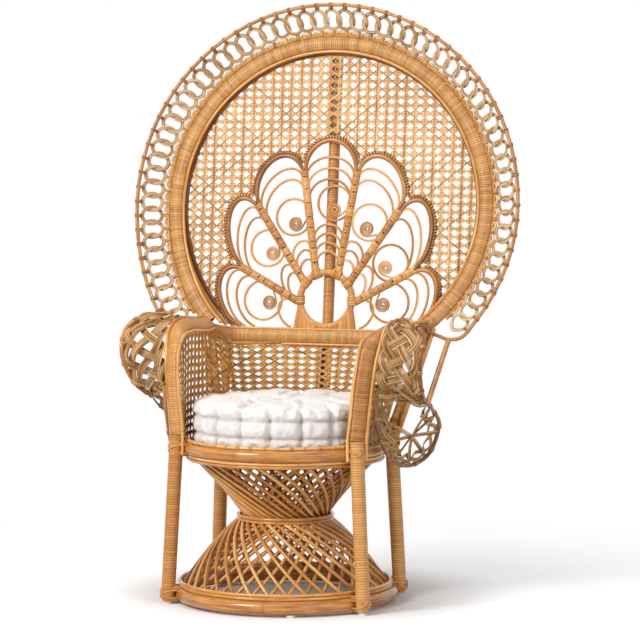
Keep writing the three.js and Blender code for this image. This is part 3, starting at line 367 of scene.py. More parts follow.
def strand(bm, path, width, thickness=None, sides=8, face=None, turns=None, swell=1.0, closed=False):
    path = np.asarray(path, float)
    steps = len(path) - 1
    if closed:
        ring = path[:-1]
        tangent = np.roll(ring, -1, axis=0) - np.roll(ring, 1, axis=0)
        tangent = np.vstack([tangent, tangent[:1]])
    else:
        tangent = np.gradient(path, axis=0)
    tangent = unit(tangent)
    facing = carried(tangent) if face is None else np.broadcast_to(np.asarray(face, float), path.shape)
    across = unit(np.cross(facing, tangent))
    facing = np.cross(tangent, across)
    angle = tau * (np.arange(sides + 1) + 0.5) / sides
    reach = 0.5 / cos(pi / sides)
    spread = np.cos(angle) * reach * width
    lift = np.sin(angle) * reach * (width if thickness is None else thickness)
    scale = np.broadcast_to(swell, (steps + 1,))[:, None, None]
    corners = across[:, None] * spread[None, :, None] + facing[:, None] * lift[None, :, None]
    corners = path[:, None] + corners * scale
    along = lengths(path)
    tint = draws.random()
    one = new_piece()
    grain_layer = one.verts.layers.float_vector["grain"]
    tint_layer = one.verts.layers.float["tint"]
    turn_layer = one.verts.layers.float["turn"]
    for vert in bmesh.ops.create_grid(one, x_segments=steps, y_segments=sides, size=0.5)["verts"]:
        i = round((vert.co.x + 0.5) * steps)
        j = round((vert.co.y + 0.5) * sides)
        vert[grain_layer] = (spread[j], lift[j], along[i] + tint * GRAIN_APART)
        vert[tint_layer] = tint
        vert[turn_layer] = 0.5 if turns is None else turns[i]
        vert.co = corners[i, j]
    for side in one.faces:
        side.smooth = True
    bmesh.ops.remove_doubles(one, verts=one.verts, dist=MERGE_REACH)
    if not closed:
        rims = [edge for edge in one.edges if edge.is_boundary]
        for edge in rims:
            edge.smooth = False
        bmesh.ops.holes_fill(one, edges=rims, sides=0)
    bmesh.ops.recalc_face_normals(one, faces=one.faces)
    one.to_mesh(SCRATCH)
    one.free()
    bm.from_mesh(SCRATCH)


print("strand helper ready")

# %% [markdown]
# ## Wrapped poles and tied turns
# A wrapped pole is a strand whose section shrinks a little at the start of every turn of peel, so the
# grooves are real. A tie or lashing is a flat strip that runs once round two poles: a closed strand on a
# rounded rectangle. A finished piece is carried into the frame, given its finish and hung on its body, and
# the solids it stands for are hidden.

# %% Winding, tying and finishing
GROOVE_DEPTH = 1.2
TURN_PLACES = (0.0, 0.16, 0.84)


def wound(bm, path, width, thickness=None, pitch=5.0, sides=12, face=None, taper=None):
    path = np.asarray(path, float)
    along = lengths(path)
    count = max(2, round(along[-1] / pitch))
    turns = np.append((np.arange(count)[:, None] + TURN_PLACES).ravel(), count)
    places = turns / count * along[-1]
    shrink = 1 - GROOVE_DEPTH / min(width, thickness or width)
    swell = np.append(np.tile([shrink, 1.0, 1.0], count), shrink)
    if taper is not None:
        swell = swell * np.interp(places, *taper)
    if face is not None and np.ndim(face) > 1:
        face = walk(path, places, face)
    strand(bm, walk(path, places), width, thickness, sides, face, turns, swell)


def tie(bm, centre, side, up, half_side, half_up, width=3.0, thickness=1.2, steps=14, square=3.0):
    angle = np.linspace(0, tau, steps + 1)
    c, s = np.cos(angle)[:, None], np.sin(angle)[:, None]
    reach = (np.abs(c) ** square + np.abs(s) ** square) ** (-1 / square)
    side, up = unit(side), unit(up)
    path = np.asarray(centre, float) + reach * (side * half_side * c + up * half_up * s)
    strand(bm, path, width, thickness, 4, side * c / half_side + up * s / half_up, closed=True)


def finish_piece(name, bm, finish, nodes=(), body="frame"):
    bmesh.ops.transform(bm, matrix=TO_FRAME, verts=bm.verts)
    mesh = bpy.data.meshes.new(name)
    bm.to_mesh(mesh)
    bm.free()
    mesh.materials.append(finish.material)
    piece = bpy.data.objects.new(name, mesh)
    bpy.context.scene.collection.objects.link(piece)
    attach(piece, body)
    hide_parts(*nodes)
    print(f"{name}: {len(mesh.polygons)} faces")
    return piece


print("winding, tying and finishing ready")

# %% [markdown]
# ## Camera, floor and light
# The photograph was taken from about seven metres with a long lens, twenty degrees to the right of straight
# on and from a little above the middle of the back. The floor and the backdrop are white to the camera, but
# the floor keeps the chair's shadow. Light comes from large soft lamps, so that a colour renders about as it
# is written.

# %% Camera
CAMERA_PLACE = (2394, -6578, 1180)
CAMERA_AIM = (79, 28.7, 685)
FOCAL_PIXELS = 2888
PHOTO_PIXELS = 640
SENSOR = 36
FAR_CLIP = 60

lens = bpy.data.cameras.new("camera")
lens.sensor_width = SENSOR
lens.lens = SENSOR * FOCAL_PIXELS / PHOTO_PIXELS
lens.clip_end = FAR_CLIP
camera = bpy.data.objects.new("camera", lens)
camera.location = TO_FRAME @ Vector(CAMERA_PLACE)
aim = TO_FRAME @ Vector(CAMERA_AIM)
camera.rotation_euler = (aim - camera.location).to_track_quat("-Z", "Y").to_euler()
bpy.context.scene.collection.objects.link(camera)
bpy.context.scene.camera = camera
bpy.context.scene.view_settings.view_transform = "Standard"
print(f"lens {lens.lens:.1f} mm")

# %% [markdown]
# ### A floor that is white far off
# Near the chair the floor takes light and shadow, and a glow lifts it outside the pedestal. Further out it
# turns to plain white, so that no edge shows against the backdrop.

# %% Floor
WHITE = (1.0, 1.0, 1.0, 1.0)
FLOOR_GREY = (0.86, 0.86, 0.86, 1.0)
GLOW_START, GLOW_END, GLOW = 0.24, 0.6, 0.35
WHITE_START, WHITE_END = 0.6, 1.5
FLOOR_HALF = 30
SEEN_RAYS = ("Is Camera Ray", "Is Glossy Ray", "Is Transmission Ray")


def seen_directly(finish):
    rays = [finish.node("ShaderNodeLightPath", {}, {}, kind) for kind in SEEN_RAYS]
    return finish.sum_node("MINIMUM", rays[0] + rays[1] + rays[2], 1.0)


def rise(finish, reach, start, end, top=1.0):
    settings = {"interpolation_type": "SMOOTHSTEP"}
    return finish.node("ShaderNodeMapRange", settings, {0: reach, 1: start, 2: end, 4: top})


def shine(finish, strength):
    return finish.node("ShaderNodeEmission", {}, {"Color": WHITE, "Strength": strength})


def pale_floor():
    finish = Finish("pale_floor", {"Roughness": 0.9, "Base Color": FLOOR_GREY})
    place = finish.node("ShaderNodeTexCoord", {}, {}, "Object")
    reach = finish.node("ShaderNodeVectorMath", {"operation": "LENGTH"}, {0: place}, 1)
    far = rise(finish, reach, WHITE_START, WHITE_END)
    direct = seen_directly(finish)
    glow = shine(finish, rise(finish, reach, GLOW_START, GLOW_END, GLOW))
    lifted_up = finish.node("ShaderNodeMixShader", {}, {0: direct, 1: shine(finish, 0.0), 2: glow})
    near = finish.node("ShaderNodeAddShader", {}, {0: Value(finish, finish.skin.outputs[0]), 1: lifted_up})
    whole = finish.node("ShaderNodeMixShader", {}, {0: far * direct, 1: near, 2: shine(finish, 1.0)})
    finish.feed(finish.tree.nodes["Material Output"].inputs["Surface"], whole)
    return finish


floor_bm = bmesh.new()
bmesh.ops.create_grid(floor_bm, x_segments=1, y_segments=1, size=FLOOR_HALF)
floor_mesh = bpy.data.meshes.new("floor")
floor_bm.to_mesh(floor_mesh)
floor_bm.free()
floor_mesh.materials.append(pale_floor().material)
floor = bpy.data.objects.new("floor", floor_mesh)
bpy.context.scene.collection.objects.link(floor)
print("floor ready")

# %% Backdrop and lamps
ROOM_LIGHT = 0.17
LAMP_AIM = Vector((0, 0, 0.7))
LAMPS = {
    "key_lamp": ((-1.7, -3.4, 2.9), 1.6, 158),
    "fill_lamp": ((2.9, -2.4, 1.8), 2.2, 40),
    "top_lamp": ((0.0, 0.0, 3.8), 2.0, 52),
}

world = bpy.data.worlds.new("white_room")
bpy.context.scene.world = world
world.use_nodes = True
sky = world.node_tree
rays = sky.nodes.new("ShaderNodeLightPath")
room = sky.nodes["Background"]
backdrop = sky.nodes.new("ShaderNodeBackground")
for background, strength in ((room, ROOM_LIGHT), (backdrop, 1.0)):
    background.inputs["Color"].default_value = WHITE
    background.inputs["Strength"].default_value = strength
shown = rays.outputs[SEEN_RAYS[0]]
for kind in SEEN_RAYS[1:]:
    either = sky.nodes.new("ShaderNodeMath")
    either.operation = "MAXIMUM"
    sky.links.new(shown, either.inputs[0])
    sky.links.new(rays.outputs[kind], either.inputs[1])
    shown = either.outputs[0]
choice = sky.nodes.new("ShaderNodeMixShader")
sky.links.new(shown, choice.inputs[0])
sky.links.new(room.outputs[0], choice.inputs[1])
sky.links.new(backdrop.outputs[0], choice.inputs[2])
sky.links.new(choice.outputs[0], sky.nodes["World Output"].inputs["Surface"])

for name, (place, size, power) in LAMPS.items():
    light = bpy.data.lights.new(name, "AREA")
    light.size = size
    light.energy = power
    lamp = bpy.data.objects.new(name, light)
    lamp.location = place
    lamp.rotation_euler = (LAMP_AIM - lamp.location).to_track_quat("-Z", "Y").to_euler()
    bpy.context.scene.collection.objects.link(lamp)
print(f"{len(LAMPS)} lamps")

# %% [markdown]
# ## Rings of the pedestal
# A thick pole is steamed and bent into the floor ring, and another into the seat ring. Pairs of thin rods
# hide the nailed ends of the twisted rods. All of them are closed strands on circles. Their joints sit
# behind a rear leg, where a lashing covers them.

# %% Floor ring, seat ring and their thin rods
BASE_RADIUS, BASE_HEIGHT, BASE_POLE = 258, 22.3, 32
SEAT_RADIUS, SEAT_HEIGHT, SEAT_POLE = 238, 379, 30
THIN_ROD = 8
JOINT_ANGLE = radians(-124)


def around(radius, angle, height):
    angle, height = np.broadcast_arrays(np.asarray(angle, float), height)
    return np.stack([radius * np.sin(angle), -radius * np.cos(angle), height], axis=-1)


def circle(radius, height, steps=96):
    return around(radius, JOINT_ANGLE + np.linspace(0, tau, steps + 1), height)


RINGS = {
    "floor_ring": ("base_ring", BASE_POLE, 20, [(BASE_RADIUS, BASE_HEIGHT)]),
    "floor_ring_rods": ("base_trim", THIN_ROD, 10, [(BASE_RADIUS, 42.6), (BASE_RADIUS, 50.7)]),
    "seat_hoop": ("seat_ring", SEAT_POLE, 20, [(SEAT_RADIUS, SEAT_HEIGHT)]),
    "seat_hoop_rods": ("seat_trim", THIN_ROD, 10, [(SEAT_RADIUS, 351.6), (SEAT_RADIUS, 359.7)]),
    "waist_rods": ("waist_ring", THIN_ROD, 10, [(115, 202.9), (115, 211.1)]),
}
for name, (node, diameter, sides, hoops) in RINGS.items():
    bm = new_piece()
    for radius, height in hoops:
        strand(bm, circle(radius, height), diameter, sides=sides, face=(0, 0, 1), closed=True)
    finish_piece(name, bm, varnished_pole, [node])

# %% [markdown]
# ### Rod along the front of the seat
# A thin rod lies on the seat ring between the front legs and keeps the cushion from sliding. Small knots of
# peel tie it down.

# %% Seat edge rod and its knots
EDGE_ROD, EDGE_HEIGHT = 7, 397.2
EDGE_RADIUS = SEAT_RADIUS + 3
FRONT_REACH = radians(55)
KNOT_COUNT, KNOT_TURNS, KNOT_DROP = 15, (-0.012, 0.0, 0.012), 0.6
KNOT_SIZE = {"half_side": 4.6, "half_up": 4.9, "width": 2.6, "thickness": 1.1, "steps": 10, "square": 2.0}
bm = new_piece()
strand(bm, around(EDGE_RADIUS, np.linspace(-FRONT_REACH, FRONT_REACH, 60), EDGE_HEIGHT), EDGE_ROD, sides=10)
for angle in np.linspace(-FRONT_REACH, FRONT_REACH, KNOT_COUNT):
    for turned in KNOT_TURNS:
        place = around(EDGE_RADIUS, angle + turned, EDGE_HEIGHT - KNOT_DROP)
        tie(bm, place, around(1, angle, 0.0), (0, 0, 1), **KNOT_SIZE)
finish_piece("seat_edge_rod", bm, varnished_pole)

# %% [markdown]
# ## Twisted rods
# Two layers of thin rods cross on their way from the floor ring to the seat ring, turned opposite ways, and
# are pinched at the waist. Each rod is a strand on a path that turns about the axis, fastest at the waist,
# while its distance from it opens into a dome below and a cone above.

# %% Pedestal rods
RODS_PER_LAYER = 34
LAYERS = ((1, 98.4, 0), (-1, 87.6, 17))
ROD = 8
ROD_INSET = 8.3
CONE_TOP, DOME_FOOT = 360.8, 41.5
ROD_TWIST = radians(75)
DOME_TWIST, CONE_TWIST = 0.45, 0.6
WAIST_HEIGHT = 207
DOME_POWER, CONE_POWER = 0.76, 1.15
DOME_PLACES = (0.03, 0.09, 0.2, 0.36, 0.55, 0.78, 1.0)
CONE_PLACES = (1.0, 0.75, 0.5, 0.26, 0.1, 0.03)


def half_rod(places, waist, wide, end, power, angle, twist, twist_power):
    for place in places:
        height = WAIST_HEIGHT + (end - WAIST_HEIGHT) * place
        yield around(waist + (wide - waist) * place ** power, angle + twist * place ** twist_power, height)


def twisted_rod(angle, handed, waist, inset):
    twist = handed * ROD_TWIST
    top, foot = SEAT_RADIUS - ROD_INSET - inset, BASE_RADIUS - ROD_INSET - inset
    cone = half_rod(CONE_PLACES, waist, top, CONE_TOP, CONE_POWER, angle, -twist, CONE_TWIST)
    dome = half_rod(DOME_PLACES, waist, foot, DOME_FOOT, DOME_POWER, angle, twist, DOME_TWIST)
    return bend([*cone, around(waist, angle, WAIST_HEIGHT), *dome], 4)


bm = new_piece()
for handed, waist, inset in LAYERS:
    for i in range(RODS_PER_LAYER):
        strand(bm, twisted_rod(tau * i / RODS_PER_LAYER, handed, waist, inset), ROD, sides=8)
finish_piece("twisted_rods", bm, varnished_pole, ["pedestal_rods"])

# %% [markdown]
# ## Seat platform
# Under the cushion lies a platform of rods side by side, laced across with flat cane. It shows from below
# and when the cushion is lifted. Straight strands, each cut to the chord of the seat ring, make it.

# %% Seat platform
DECK_REACH, DECK_HEIGHT = 222, 377.5
DECK_ROD, DECK_PITCH, DECK_LAST = 6.5, 10.5, 210
LACES, LACE_HEIGHT, LACE_SHORT = (-150, -75, 0, 75, 150), 381.6, 4
LACE_STRANDS, LACE_WIDTH, LACE_GAUGE = (-3.2, 0.0, 3.2), 3.0, 1.2
bm = new_piece()
for y in np.arange(-DECK_LAST, DECK_LAST + 1, DECK_PITCH):
    half = sqrt(DECK_REACH ** 2 - y ** 2)
    strand(bm, np.linspace((-half, y, DECK_HEIGHT), (half, y, DECK_HEIGHT), 6), DECK_ROD, sides=8)
for x in LACES:
    half = sqrt(DECK_REACH ** 2 - x ** 2) - LACE_SHORT
    path = np.linspace((x, -half, LACE_HEIGHT), (x, half, LACE_HEIGHT), 41)
    for offset in LACE_STRANDS:
        strand(bm, path + (offset, 0, 0), LACE_WIDTH, LACE_GAUGE, 4, (0, 0, 1))
finish_piece("seat_platform", bm, raw_cane, ["seat_deck"])

# %% [markdown]
# ## Wrapped legs and lashings
# Four poles stand outside the two rings and lean on them. Each is wound from end to end with flat peel,
# rounded at the foot, and tied to both rings with crossed lashings. The winding is modelled turn by turn,
# and each lashing is a set of tied strips on two slants.

# %% Legs with their lashings
LEG = 34
LEG_ANGLES = {"front": radians(59), "rear": radians(124)}
LEG_FOOT, LEG_TOP = 6.5, 411
FOOT_ROUNDING = ([0, 3, 8, 16], [0.72, 0.86, 0.96, 1.0])
LEG_PITCH, LEG_PRESS = 6.2, 0.4
LASH_SLANT, LASH_STEP, LASH_SLACK = 0.75, 4.4, 1.6
LASH_SIZE = {"half_up": LEG / 2 + 3, "width": 3.5, "thickness": 1.5, "steps": 20, "square": 2.3}
LASH_STRIPS = (-1.5, -0.5, 0.5, 1.5)
FOOT_LASH_RISE = 3


def leg_reach(height):
    low, high = BASE_RADIUS + BASE_POLE / 2, SEAT_RADIUS + SEAT_POLE / 2
    return low + (high - low) * (height - BASE_HEIGHT) / (SEAT_HEIGHT - BASE_HEIGHT) + LEG / 2 - LEG_PRESS


def lash(bm, angle, ring_radius, ring_height, ring_pole):
    outward = around(1, angle, 0.0)
    aside = np.array([-outward[1], outward[0], 0.0])
    reach = (ring_pole + LEG) / 2 + LASH_SLACK
    centre = around(ring_radius + LEG / 2, angle, ring_height)
    for slant in (LASH_SLANT, -LASH_SLANT):
        way = aside * cos(slant) + np.array([0, 0, sin(slant)])
        shift = np.cross(outward, way)
        for k in LASH_STRIPS:
            place = centre + shift * k * LASH_STEP
            tie(bm, place, outward, way, reach, **LASH_SIZE)


for row, leg_angle in LEG_ANGLES.items():
    for side, sign in SIDES:
        angle = sign * leg_angle
        bm = new_piece()
        ends = [around(leg_reach(height), angle, height) for height in (LEG_FOOT, LEG_TOP)]
        wound(bm, np.linspace(*ends, 12), LEG, pitch=LEG_PITCH, sides=18, taper=FOOT_ROUNDING)
        lash(bm, angle, BASE_RADIUS, BASE_HEIGHT + FOOT_LASH_RISE, BASE_POLE)
        lash(bm, angle, SEAT_RADIUS, SEAT_HEIGHT, SEAT_POLE)
        finish_piece(f"wrapped_{row}_leg_{side}", bm, aged_peel, [f"{row}_leg_{side}"])

# %% [markdown]
# ## Glides
# Small white pads are nailed under the legs and the floor ring. Each is a short cone with bevelled rims.

# %% Nylon glides
GLIDE_HEIGHT, GLIDE_RADIUS, GLIDE_TAPER, GLIDE_BEVEL = 6.0, 11.0, 1.0, 0.8
RING_GLIDES, RING_GLIDE_TURN = 4, pi / 8
bm = new_piece()
pads = [(leg_reach(GLIDE_HEIGHT), sign * each) for each in LEG_ANGLES.values() for sign in (-1, 1)]
pads += [(BASE_RADIUS, tau * (i + 0.5) / RING_GLIDES - RING_GLIDE_TURN) for i in range(RING_GLIDES)]
for radius, angle in pads:
    place = Matrix.Translation(Vector(around(radius, angle, GLIDE_HEIGHT / 2)))
    bmesh.ops.create_cone(bm, cap_ends=True, segments=24, radius1=GLIDE_RADIUS - GLIDE_TAPER,
                          radius2=GLIDE_RADIUS, depth=GLIDE_HEIGHT, matrix=place)
rims = [edge for edge in bm.edges if abs(edge.verts[0].co.z - edge.verts[1].co.z) < 0.1]
bmesh.ops.bevel(bm, geom=rims, offset=GLIDE_BEVEL, segments=2, profile=0.5, affect="EDGES", material=-1)
glide_nodes = [f"{row}_leg_glide_{side}" for row in LEG_ANGLES for side, _ in SIDES]
glide_nodes += [f"ring_glide_{i + 1}" for i in range(RING_GLIDES)]
finish_piece("floor_glides", bm, white_nylon, glide_nodes)

# %% [markdown]
# ## The leaning back
# The round back lies in its own plane, which leans six and a half degrees. Places on it are given as
# across, up from the fan's rail, and forward of the cane. The lower corners of the band sweep forward to
# meet the arms.

# %% Places on the back
BACK_LEAN = radians(6.5)
BACK_DEPTH, BACK_FOOT = 297, 640
BACK_CENTRE = 312
HOOP_STOP = 10
CORNER_SWEEP = 60
BAND_RADIUS = 415


def on_back(across, up, forward):
    across, up, forward = np.broadcast_arrays(np.asarray(across, float), up, forward)
    depth = BACK_DEPTH + up * sin(BACK_LEAN) - forward * cos(BACK_LEAN)
    height = BACK_FOOT + up * cos(BACK_LEAN) + forward * sin(BACK_LEAN)
    return np.stack([across, depth, height], axis=-1)


BACK_FACE = on_back(0, 0, 1) - on_back(0, 0, 0)
ACROSS = np.array([1.0, 0.0, 0.0])


def lowest(radius):
    return -asin((BACK_CENTRE - HOOP_STOP) / radius)


def on_hoop(radius, angle, forward, sweep=CORNER_SWEEP):
    angle = np.asarray(angle, float)
    drop = np.maximum(0, -np.sin(angle)) / sin(-lowest(BAND_RADIUS))
    return on_back(radius * np.cos(angle), BACK_CENTRE + radius * np.sin(angle), forward + sweep * drop ** 2)


def hoop_path(radius, forward, sweep=CORNER_SWEEP, steps=180, low=None):
    low = lowest(radius) if low is None else low
    return on_hoop(radius, np.linspace(low, pi - low, steps + 1), forward, sweep)


print(f"band ends at {np.degrees(lowest(BAND_RADIUS)):.1f} degrees")

# %% [markdown]
# ## Band and hoops of the back
# A wide band wound with radial turns of peel rings the back, between two thin polished rods. Behind it a
# stouter hoop carries the cane sheet. The band is a wound strand that keeps its face to the front.

# %% Wound band and its rods
BAND_WIDTH, BAND_THICKNESS, BAND_FORWARD = 34, 15, 14.7
BAND_PITCH = 6.0
INNER_ROD_RADIUS, OUTER_ROD_RADIUS = 393.7, 436.3
CANE_HOOP_RADIUS, CANE_HOOP = 402.7, 17

bm = new_piece()
wound(bm, hoop_path(BAND_RADIUS, BAND_FORWARD), BAND_WIDTH, BAND_THICKNESS, BAND_PITCH, 14, BACK_FACE)
finish_piece("wound_back_band", bm, wrapped_peel, ["back_band"])

bm = new_piece()
strand(bm, hoop_path(INNER_ROD_RADIUS, BAND_FORWARD), THIN_ROD, sides=10, face=BACK_FACE)
finish_piece("inner_edge_rod", bm, varnished_pole, ["back_inner_trim"])

bm = new_piece()
strand(bm, hoop_path(CANE_HOOP_RADIUS, 0, 0), CANE_HOOP, sides=12, face=BACK_FACE)
finish_piece("cane_sheet_hoop", bm, varnished_pole, ["cane_hoop"])

# %% [markdown]
# ## Linked border
# The border is a chain of cane rings, each bent from three strands side by side and passed over one
# neighbour and under the other. Knots tie it to the band's outer rod and to a wound rim, which ends in a
# free tail at each side, and a pale strip runs to and fro between the rings and the rod. A ring is three
# closed strands on nested ovals, and a wave in height carries it over and under.

# %% Links, rim and ties
RIM_RADIUS, RIM_FORWARD, RIM_ROD = 506.3, 54.7, 9
LINK_PITCH = 35
LINK_HALF_LENGTH, LINK_HALF_HEIGHT, LINK_SHIFT = 24.5, 29, 1.0
LINK_STRAND, LINK_GAP, LINK_GAUGE, LINK_WAVE, LINK_STRANDS = 3.3, 0.2, 2.0, 3.2, 3
RIM_TIE, ROD_TIE, TIE_STEP, TIE_SLACK = 7, 5, 2.7, 1.2
LINK_TIE_SIZE = {"width": 2.6, "thickness": 1.1, "steps": 10}
NEARBY = 0.02
ZIGZAG_LOW, ZIGZAG_HIGH, ZIGZAG_WIDTH, ZIGZAG_LAYERS = 2.0, 9.0, 5.0, (-1.6, 1.6)
RIM_PITCH, OUTER_ROD_PITCH = 5.5, 60
RIM_TAIL = [(-36, -6, -10), (-72, 4, -22), (-102, 12, -25)]
MIDDLE_RADIUS = (OUTER_ROD_RADIUS + RIM_RADIUS) / 2
MIDDLE_FORWARD = (BAND_FORWARD + RIM_FORWARD) / 2
BORDER_LOW = lowest(MIDDLE_RADIUS)
LINK_COUNT = int(MIDDLE_RADIUS * (pi - 2 * BORDER_LOW) / LINK_PITCH)


def rim_tail(sign):
    end = on_hoop(RIM_RADIUS, BORDER_LOW, RIM_FORWARD)
    return (end + on_back(*np.transpose(RIM_TAIL)) - on_back(0, 0, 0)) * (sign, 1, 1)


def rim_path():
    hoop = hoop_path(RIM_RADIUS, RIM_FORWARD, low=BORDER_LOW)
    tail = bend(np.vstack([rim_tail(1)[::-1], hoop[:6:5]]))
    return np.vstack([tail[:-1], hoop[5:-5], tail[-2::-1] * (-1, 1, 1)])


def border_frame(angle):
    inner = on_hoop(OUTER_ROD_RADIUS, angle, BAND_FORWARD)
    outer = on_hoop(RIM_RADIUS, angle, RIM_FORWARD)
    upright = unit(outer - inner)
    behind, ahead = on_hoop(MIDDLE_RADIUS, [angle - NEARBY, angle + NEARBY], MIDDLE_FORWARD)
    along = unit(ahead - behind)
    along = unit(along - upright * (along @ upright))
    return inner, outer, along, upright, np.cross(along, upright)


def link(bm, angle):
    inner, outer, along, upright, face = border_frame(angle)
    theta = np.linspace(0, tau, 33)[:, None]
    middle = (inner + outer) / 2 + upright * LINK_SHIFT
    for k in range(LINK_STRANDS):
        half_length = LINK_HALF_LENGTH - k * LINK_STRAND
        half_height = LINK_HALF_HEIGHT - k * LINK_STRAND
        path = middle + along * half_length * np.cos(theta) + upright * half_height * np.sin(theta)
        path = path + face * LINK_WAVE * np.sin(2 * theta)
        strand(bm, path, LINK_STRAND - LINK_GAP, LINK_GAUGE, 5, face, closed=True)


def link_tie(bm, angle, at_rim, depth):
    inner, outer, along, upright, face = border_frame(angle)
    place, towards, rod = (outer, -upright, RIM_ROD) if at_rim else (inner, upright, THIN_ROD)
    for k in (-1, 0, 1):
        middle = place + towards * depth / 2 + along * k * TIE_STEP
        half_side, half_up = (rod + depth) / 2 + TIE_SLACK, rod / 2 + TIE_SLACK
        tie(bm, middle, upright, face, half_side, half_up, **LINK_TIE_SIZE)


def zigzag(bm, angles):
    points = []
    for k, angle in enumerate(angles):
        inner, outer, along, upright, face = border_frame(angle)
        points.append(inner + upright * (ZIGZAG_LOW, ZIGZAG_HIGH)[k % 2])
    path = bend(points, 5)
    for offset in ZIGZAG_LAYERS:
        strand(bm, path + BACK_FACE * offset, ZIGZAG_WIDTH, LINK_GAUGE, 4, BACK_FACE)


link_angles = BORDER_LOW + (pi - 2 * BORDER_LOW) * (np.arange(LINK_COUNT) + 0.5) / LINK_COUNT
rim, outer_rod, rings = new_piece(), new_piece(), new_piece()
wound(rim, rim_path(), RIM_ROD, pitch=RIM_PITCH, sides=8, face=BACK_FACE)
rod_path = hoop_path(OUTER_ROD_RADIUS, BAND_FORWARD, low=BORDER_LOW)
wound(outer_rod, rod_path, THIN_ROD, pitch=OUTER_ROD_PITCH, sides=8, face=BACK_FACE)
for angle in link_angles:
    link(rings, angle)
    link_tie(rim, angle, True, RIM_TIE)
    link_tie(outer_rod, angle, False, ROD_TIE)
zigzag(rings, np.linspace(link_angles[0], link_angles[-1], 2 * LINK_COUNT - 1))
finish_piece("border_rim", rim, darker_pole, ["border_rim_links"])
finish_piece("band_outer_rod", outer_rod, raw_cane, ["border_inner_links"])
finish_piece("border_rings", rings, pale_cane)

# %% [markdown]
# ## Fan of petals
# Seven petals spring from a hub on the rail. Each is one rod bent round, and two neighbours lie side by
# side along a spoke, where peel wraps them together. Nested arches fill the tip, small arches the root, and
# a loop with a tight scroll hangs between.

# %% Lines of the fan
SPOKE_ROOTS = [(81, 74), (63.9, 126), (31.1, 150.2)]
SPOKE_TIPS = [(237, 158), (196, 319), (72, 408)]
PETAL_ROD, TIP_ROD, PETAL_GAP = 9, 12, 0.3
PETAL_FORWARD = 5.7
PETAL_BULGES = [60, 72, 68, 72]
LOW_FOOT = (226, 0)
TOP_PETAL = 3
PETALS = [(0, -1), (1, -1), (2, -1), (TOP_PETAL, 1), (2, 1), (1, 1), (0, 1)]


def flat(pair, mirror=1):
    return np.array([mirror * pair[0], pair[1]], float)


def petal_leg(spoke, mirror, towards):
    root, tip = flat(SPOKE_ROOTS[spoke], mirror), flat(SPOKE_TIPS[spoke], mirror)
    aside = unit([root[1] - tip[1], tip[0] - root[0]]) * (PETAL_ROD / 2 + PETAL_GAP)
    aside = aside * np.sign(aside @ (towards - tip))
    return root + aside, tip + aside


def petal_sides(petal, mirror):
    if petal == TOP_PETAL:
        middle = flat((0, SPOKE_TIPS[2][1]))
        return petal_leg(2, 1, middle), petal_leg(2, -1, middle)
    below = LOW_FOOT if petal == 0 else SPOKE_TIPS[petal - 1]
    upper = petal_leg(petal, mirror, flat(below, mirror))
    if petal == 0:
        level = PETAL_ROD / 2 + PETAL_GAP
        return (flat((SPOKE_ROOTS[0][0], level), mirror), flat((LOW_FOOT[0], level), mirror)), upper
    return petal_leg(petal - 1, mirror, flat(SPOKE_TIPS[petal], mirror)), upper


def arch(start, end, rise, outward, steps=24):
    angle = np.linspace(0, pi, steps + 1)[:, None]
    return (start + end) / 2 - (end - start) / 2 * np.cos(angle) + outward * rise * np.sin(angle)


def petal_run(petal, mirror):
    first, second = petal_sides(petal, mirror)
    outward = first[1] + second[1] - first[0] - second[0]
    length = np.linalg.norm(outward) / 2
    return first, second, unit(outward), length


def lifted(points, forward=PETAL_FORWARD):
    return on_back(points[:, 0], points[:, 1], forward)


print("seven petals on three pairs of spokes")

# %% [markdown]
# ### Petal rods, arches and loops
# The bent rod of a petal shows its dark polish over the tip, where it is stoutest. Its legs go under the
# wrapping of the spokes. Arches and loops are pairs of thin strands, and those of all petals are one piece.

# %% Petals
ARCH_COUNTS = [2, 2, 2, 3]
HUB_ARCH_COUNTS = [1, 2, 3, 4]
TIP_ARCH_SHARE, HUB_ARCH_SHARE = 0.92, 0.07
ARCH_SPACING, HUB_ARCH_SPACING, ARCH_RISE = 28, 20, 50
LOOP_SHARES = [0.57, 0.63, 0.62, 0.66]
LOOP_RADII = [50, 46, 46, 44]
LOOP_OPENING = 20
ARCH_STRAND, ARCH_GAUGE, ARCH_PAIR = 3.0, 3.4, (-1.55, 1.55)
TIP_SWELL = ([0, 0.15, 0.85, 1], [0.78, 1, 1, 0.78])


def double_strand(bm, path):
    aside = unit(np.cross(BACK_FACE, np.gradient(path, axis=0)))
    for offset in ARCH_PAIR:
        strand(bm, path + aside * offset, ARCH_STRAND, ARCH_GAUGE, 6, BACK_FACE)


def across_petal(sides, share):
    return [leg[0] + (leg[1] - leg[0]) * share for leg in sides]


def petal_loop(petal, seat, other):
    tied = seat[0] + (seat[1] - seat[0]) * LOOP_SHARES[petal]
    inward = unit(other[0] + (other[1] - other[0]) * LOOP_SHARES[petal] - tied)
    radius = LOOP_RADII[petal]
    middle = tied + inward * sqrt(radius ** 2 - LOOP_OPENING ** 2)
    along = unit(seat[1] - seat[0])
    way = tied - middle
    way = way - along * (way @ along)
    gap = np.arccos(np.linalg.norm(way) / radius)
    start = np.arctan2(way[1], way[0]) + gap
    angle = start + np.linspace(0, tau - 2 * gap, 41)
    return middle, way, middle + radius * np.column_stack([np.cos(angle), np.sin(angle)])


